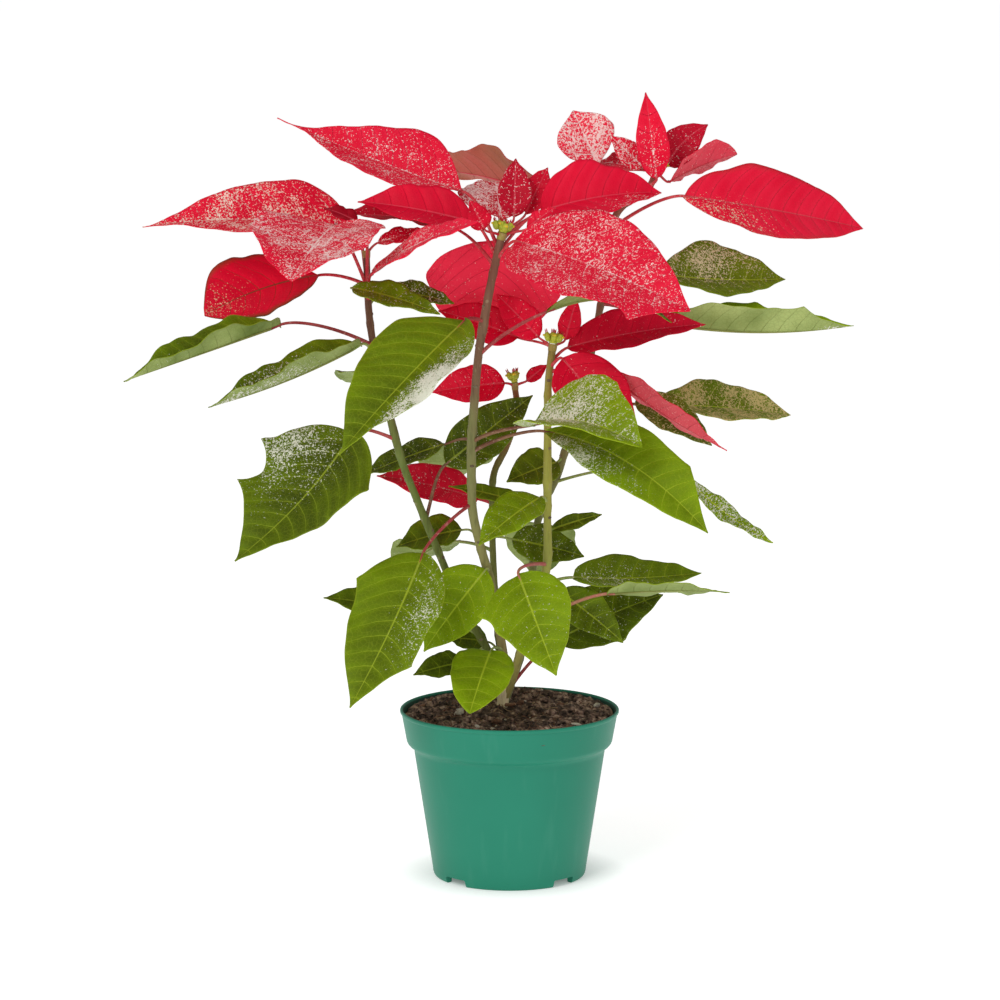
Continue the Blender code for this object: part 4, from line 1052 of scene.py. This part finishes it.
def turned(name, profile, sides):
    """A solid of revolution, drawn ring by ring from the first circle with extrude and scale."""
    radius, height = profile[0]
    bpy.ops.mesh.primitive_circle_add(vertices=sides, radius=radius * MM, location=(0, 0, height * MM))
    thing = bpy.context.object
    name_piece(thing, name)
    bpy.ops.object.mode_set(mode="EDIT")
    bpy.ops.mesh.select_mode(type="EDGE")
    bpy.ops.mesh.select_all(action="SELECT")
    for (radius, height), (wider, higher) in zip(profile, profile[1:]):
        bpy.ops.mesh.extrude_edges_move(TRANSFORM_OT_translate={"value": (0, 0, (higher - height) * MM)})
        bpy.ops.transform.resize(value=(wider / radius, wider / radius, 1.0), center_override=(0, 0, 0))
    bpy.ops.mesh.select_all(action="SELECT")
    bpy.ops.mesh.fill_holes(sides=0)
    bpy.ops.mesh.select_all(action="SELECT")
    bpy.ops.mesh.normals_make_consistent(inside=False)
    bpy.ops.object.mode_set(mode="OBJECT")
    return thing


def make_pot(paint):
    """The pot: tapered wall, rolled rim over a collar, stepped floor and four drain notches."""
    profile = [(radius + out, height + up) for radius, height, steps in POT_PROFILE for out, up in steps]
    pot = turned("pot", profile, POT_SIDES)
    pot.data.materials.append(paint)
    for angle in NOTCH_ANGLES:
        bpy.ops.mesh.primitive_cube_add(size=MM)
        cutter = bpy.context.object
        cutter.scale = (12.0, NOTCH_WIDTH, NOTCH_HEIGHT + 2.0)
        turn = math.radians(angle)
        cutter.rotation_euler = (0, 0, turn)
        cutter.location = (level(turn) * BASE_RADIUS + Vector((0, 0, NOTCH_HEIGHT / 2 - 1.0))) * MM
        soft = cutter.modifiers.new("corners", "BEVEL")
        soft.width = 1.2 * MM
        soft.segments = 3
        bpy.ops.object.transform_apply(location=True, rotation=True, scale=True)
        apply_modifiers(cutter)
        cut = pot.modifiers.new("notch", "BOOLEAN")
        cut.operation = "DIFFERENCE"
        cut.object = cutter
        cut.solver = "EXACT"
        apply_modifiers(pot)
        bpy.data.objects.remove(cutter, do_unlink=True)
    select_only(pot)
    bpy.ops.object.shade_smooth_by_angle(angle=math.radians(32))
    settle(pot, "pot", "pot")


def soil_height(x, y):
    """The height of the soil, with a tilt, a mound round the trunk, clods and crumbs."""
    away = math.hypot(x - TRUNK_AT[0], y - TRUNK_AT[1])
    mound = SOIL_MOUND * math.exp(-(away / 22.0) ** 2)
    clods = SOIL_CLOD * noise.noise(Vector((x, y, 3.0)) / 9.0)
    crumbs = 1.7 * noise.noise(Vector((x, y, 7.0)) / 4.2) + 0.8 * noise.noise(Vector((x, y, 9.0)) / 1.7)
    return SOIL_LEVEL + SOIL_TILT * y + mound + clods + crumbs


def make_crumb(seed, number, paints):
    """A crumb of peat, a bit of grit or a piece of bark, lying on the soil."""
    turn = seed.uniform(0, 2 * math.pi)
    size = seed.choice(CRUMB_SIZES)
    place = level(turn) * (SOIL_EDGE - 1.3 * size) * math.sqrt(seed.random())
    place.z = soil_height(place.x, place.y) + 0.2 * size
    flat = seed.uniform(0.45, 0.9)
    bpy.ops.mesh.primitive_ico_sphere_add(subdivisions=2, radius=MM)
    crumb = bpy.context.object
    for vert in crumb.data.vertices:
        rough = 1.0 + 0.45 * noise.noise(vert.co / MM * 1.3 + Vector((number, 0, 0)))
        vert.co = Vector((vert.co.x * size, vert.co.y * size * flat, vert.co.z * size * 0.6)) * rough
    crumb.rotation_euler = (seed.uniform(-0.5, 0.5), seed.uniform(-0.5, 0.5), turn * 3)
    crumb.location = place * MM
    crumb.data.materials.append(paints["soil" if number % 9 else ("grit" if number % 2 else "bark")])
    return crumb


def make_fibre(seed, number, paints):
    """A fibre that lies wavily on the soil."""
    reach = SOIL_EDGE * 0.97
    turn = seed.uniform(0, 2 * math.pi)
    middle = level(turn) * SOIL_EDGE * 0.9 * math.sqrt(seed.random())
    heading = seed.uniform(0, 2 * math.pi)
    length = seed.uniform(4, 13)
    points = []
    for step in range(5):
        along = length * (step / 4 - 0.5)
        sway = 0.9 * math.sin(step * 1.7 + number)
        point = middle + level(heading) * along + level(heading + math.pi / 2) * sway
        point *= reach / max(reach, point.length)
        point.z = soil_height(point.x, point.y) + 0.7
        points.append(point)
    return tube("fibre", points, [seed.uniform(0.18, 0.4)] * 5, paints["bark" if number % 3 else "fibre"], 6)


def make_soil(paints):
    """The top of the peat, with crumbs, fibres and pale bits lying on it."""
    seed = random.Random(11)
    bpy.ops.mesh.primitive_grid_add(x_subdivisions=150, y_subdivisions=150, size=2.0)
    soil = finish(bpy.context.object, "soil", paints["soil"])
    for vert in soil.data.vertices:
        x, y = vert.co.x, vert.co.y
        place = Vector((x * math.sqrt(1 - y * y / 2), y * math.sqrt(1 - x * x / 2), 0.0)) * SOIL_EDGE
        share = min(1.0, (SOIL_EDGE - place.length) / 6.0 + 0.5)
        plain = SOIL_LEVEL + SOIL_TILT * place.y
        place.z = plain + (soil_height(place.x, place.y) - plain) * share
        vert.co = place * MM
    shell = soil.modifiers.new("depth", "SOLIDIFY")
    shell.thickness = 2.5 * MM
    shell.offset = -1.0
    apply_modifiers(soil)
    bits = [make_crumb(seed, number, paints) for number in range(CRUMBS)]
    bits += [make_fibre(seed, number, paints) for number in range(FIBRES)]
    bits.append(ellipsoid("chip", (46.0, -30.0, soil_height(46.0, -30.0) + 1.0), (4.2, 2.2, 1.0),
                          (0.1, 0.2, 0.5), paints["grit"], 12))
    settle(join_pieces(soil, bits), "soil", "soil")


def make_paints():
    """Every finish, by name."""
    paints = {"pot": pot_paint(), "soil": soil_paint(), "leaf_top": leaf_top_paint(),
              "leaf_under": leaf_under_paint(), "bract_top": bract_top_paint(),
              "bract_under": bract_under_paint()}
    for maker, finishes in ((stalk_paint, STALK_FINISHES), (stem_paint, STEM_FINISHES),
                            (plain_paint, PLAIN_FINISHES)):
        for name, finish in finishes.items():
            paints[name] = maker(name, *finish)
    return paints


def make_light(name, place, target, size, power):
    """A soft square lamp that looks at a point; places are in metres."""
    bpy.ops.object.light_add(type="AREA", location=place)
    lamp = bpy.context.object
    lamp.name = name
    lamp.data.shape = "SQUARE"
    lamp.data.size = size
    lamp.data.energy = power
    lamp.rotation_euler = (Vector(target) - Vector(place)).to_track_quat("-Z", "Y").to_euler()


def make_studio():
    """A white floor without a horizon that glows, dimmed round the pot's foot as a painted shadow; soft light
    all round; and a camera at the photo's angle.
    """
    bpy.ops.mesh.primitive_plane_add(size=120.0, location=(0, 30, 0))
    floor = bpy.context.object
    name_piece(floor, "studio_floor")
    paint = Paint("studio_floor", 0.9, 0.0)
    paint.shader.inputs["Base Color"].default_value = (0.92, 0.92, 0.92, 1.0)
    # painted shadow: the floor's glow falls to a quarter within about 40 mm of the pot's middle and comes
    # back to full by 85 mm
    away = paint.vector_math("DISTANCE", paint.place(), (0, -30, 0), "Value")
    painted_shadow_glow = paint.mix(away.between(0.04, 0.085), (0.25, 0.25, 0.25), (1.0, 1.0, 1.0))
    paint.tree.links.new(painted_shadow_glow.socket, paint.shader.inputs["Emission Color"])
    paint.shader.inputs["Emission Strength"].default_value = FLOOR_GLOW
    floor.data.materials.append(paint.material)
    world = bpy.data.worlds.new("studio")
    bpy.context.scene.world = world
    bpy.context.scene.view_settings.view_transform = "Standard"
    world.use_nodes = True
    sky = world.node_tree.nodes["Background"]
    sky.inputs["Color"].default_value = (1.0, 1.0, 1.0, 1.0)
    sky.inputs["Strength"].default_value = SKY
    make_light("key_light", (-1.3, -1.9, 2.0), (0, 0, 0.3), 1.4, KEY_POWER)
    make_light("fill_light", (1.6, -1.9, 0.9), (0, 0, 0.25), 1.6, FILL_POWER)
    bpy.ops.object.camera_add(location=CAMERA_AT, rotation=(math.radians(CAMERA_TURN), 0, 0))
    camera = bpy.context.object
    camera.data.sensor_width = 36.0
    camera.data.lens = CAMERA_LENS
    camera.data.clip_end = 200.0
    bpy.context.scene.camera = camera


def main():
    """Dress the whole plant and its pot, and set up the studio."""
    bpy.ops.object.select_all(action="DESELECT")
    make_studio()
    paints = make_paints()
    make_pot(paints["pot"])
    make_soil(paints)
    make_trunk(paints)
    for name in STEMS:
        if name != "trunk":
            stem = make_stem(name, paints[name])
            settle(join_pieces(stem, make_marks(name, paints)), "stem", name)
    make_large(LEAVES, "leaf", paints)
    make_large(BRACTS, "bract", paints)
    make_small_leaves(paints)
    for name, (stem, specs) in YOUNG_BRACTS.items():
        make_young_bracts(name, stem, specs, paints)
    for name, (stem, cups, spread) in FLOWERS.items():
        make_flowers(name, stem, cups, spread, paints)


main()
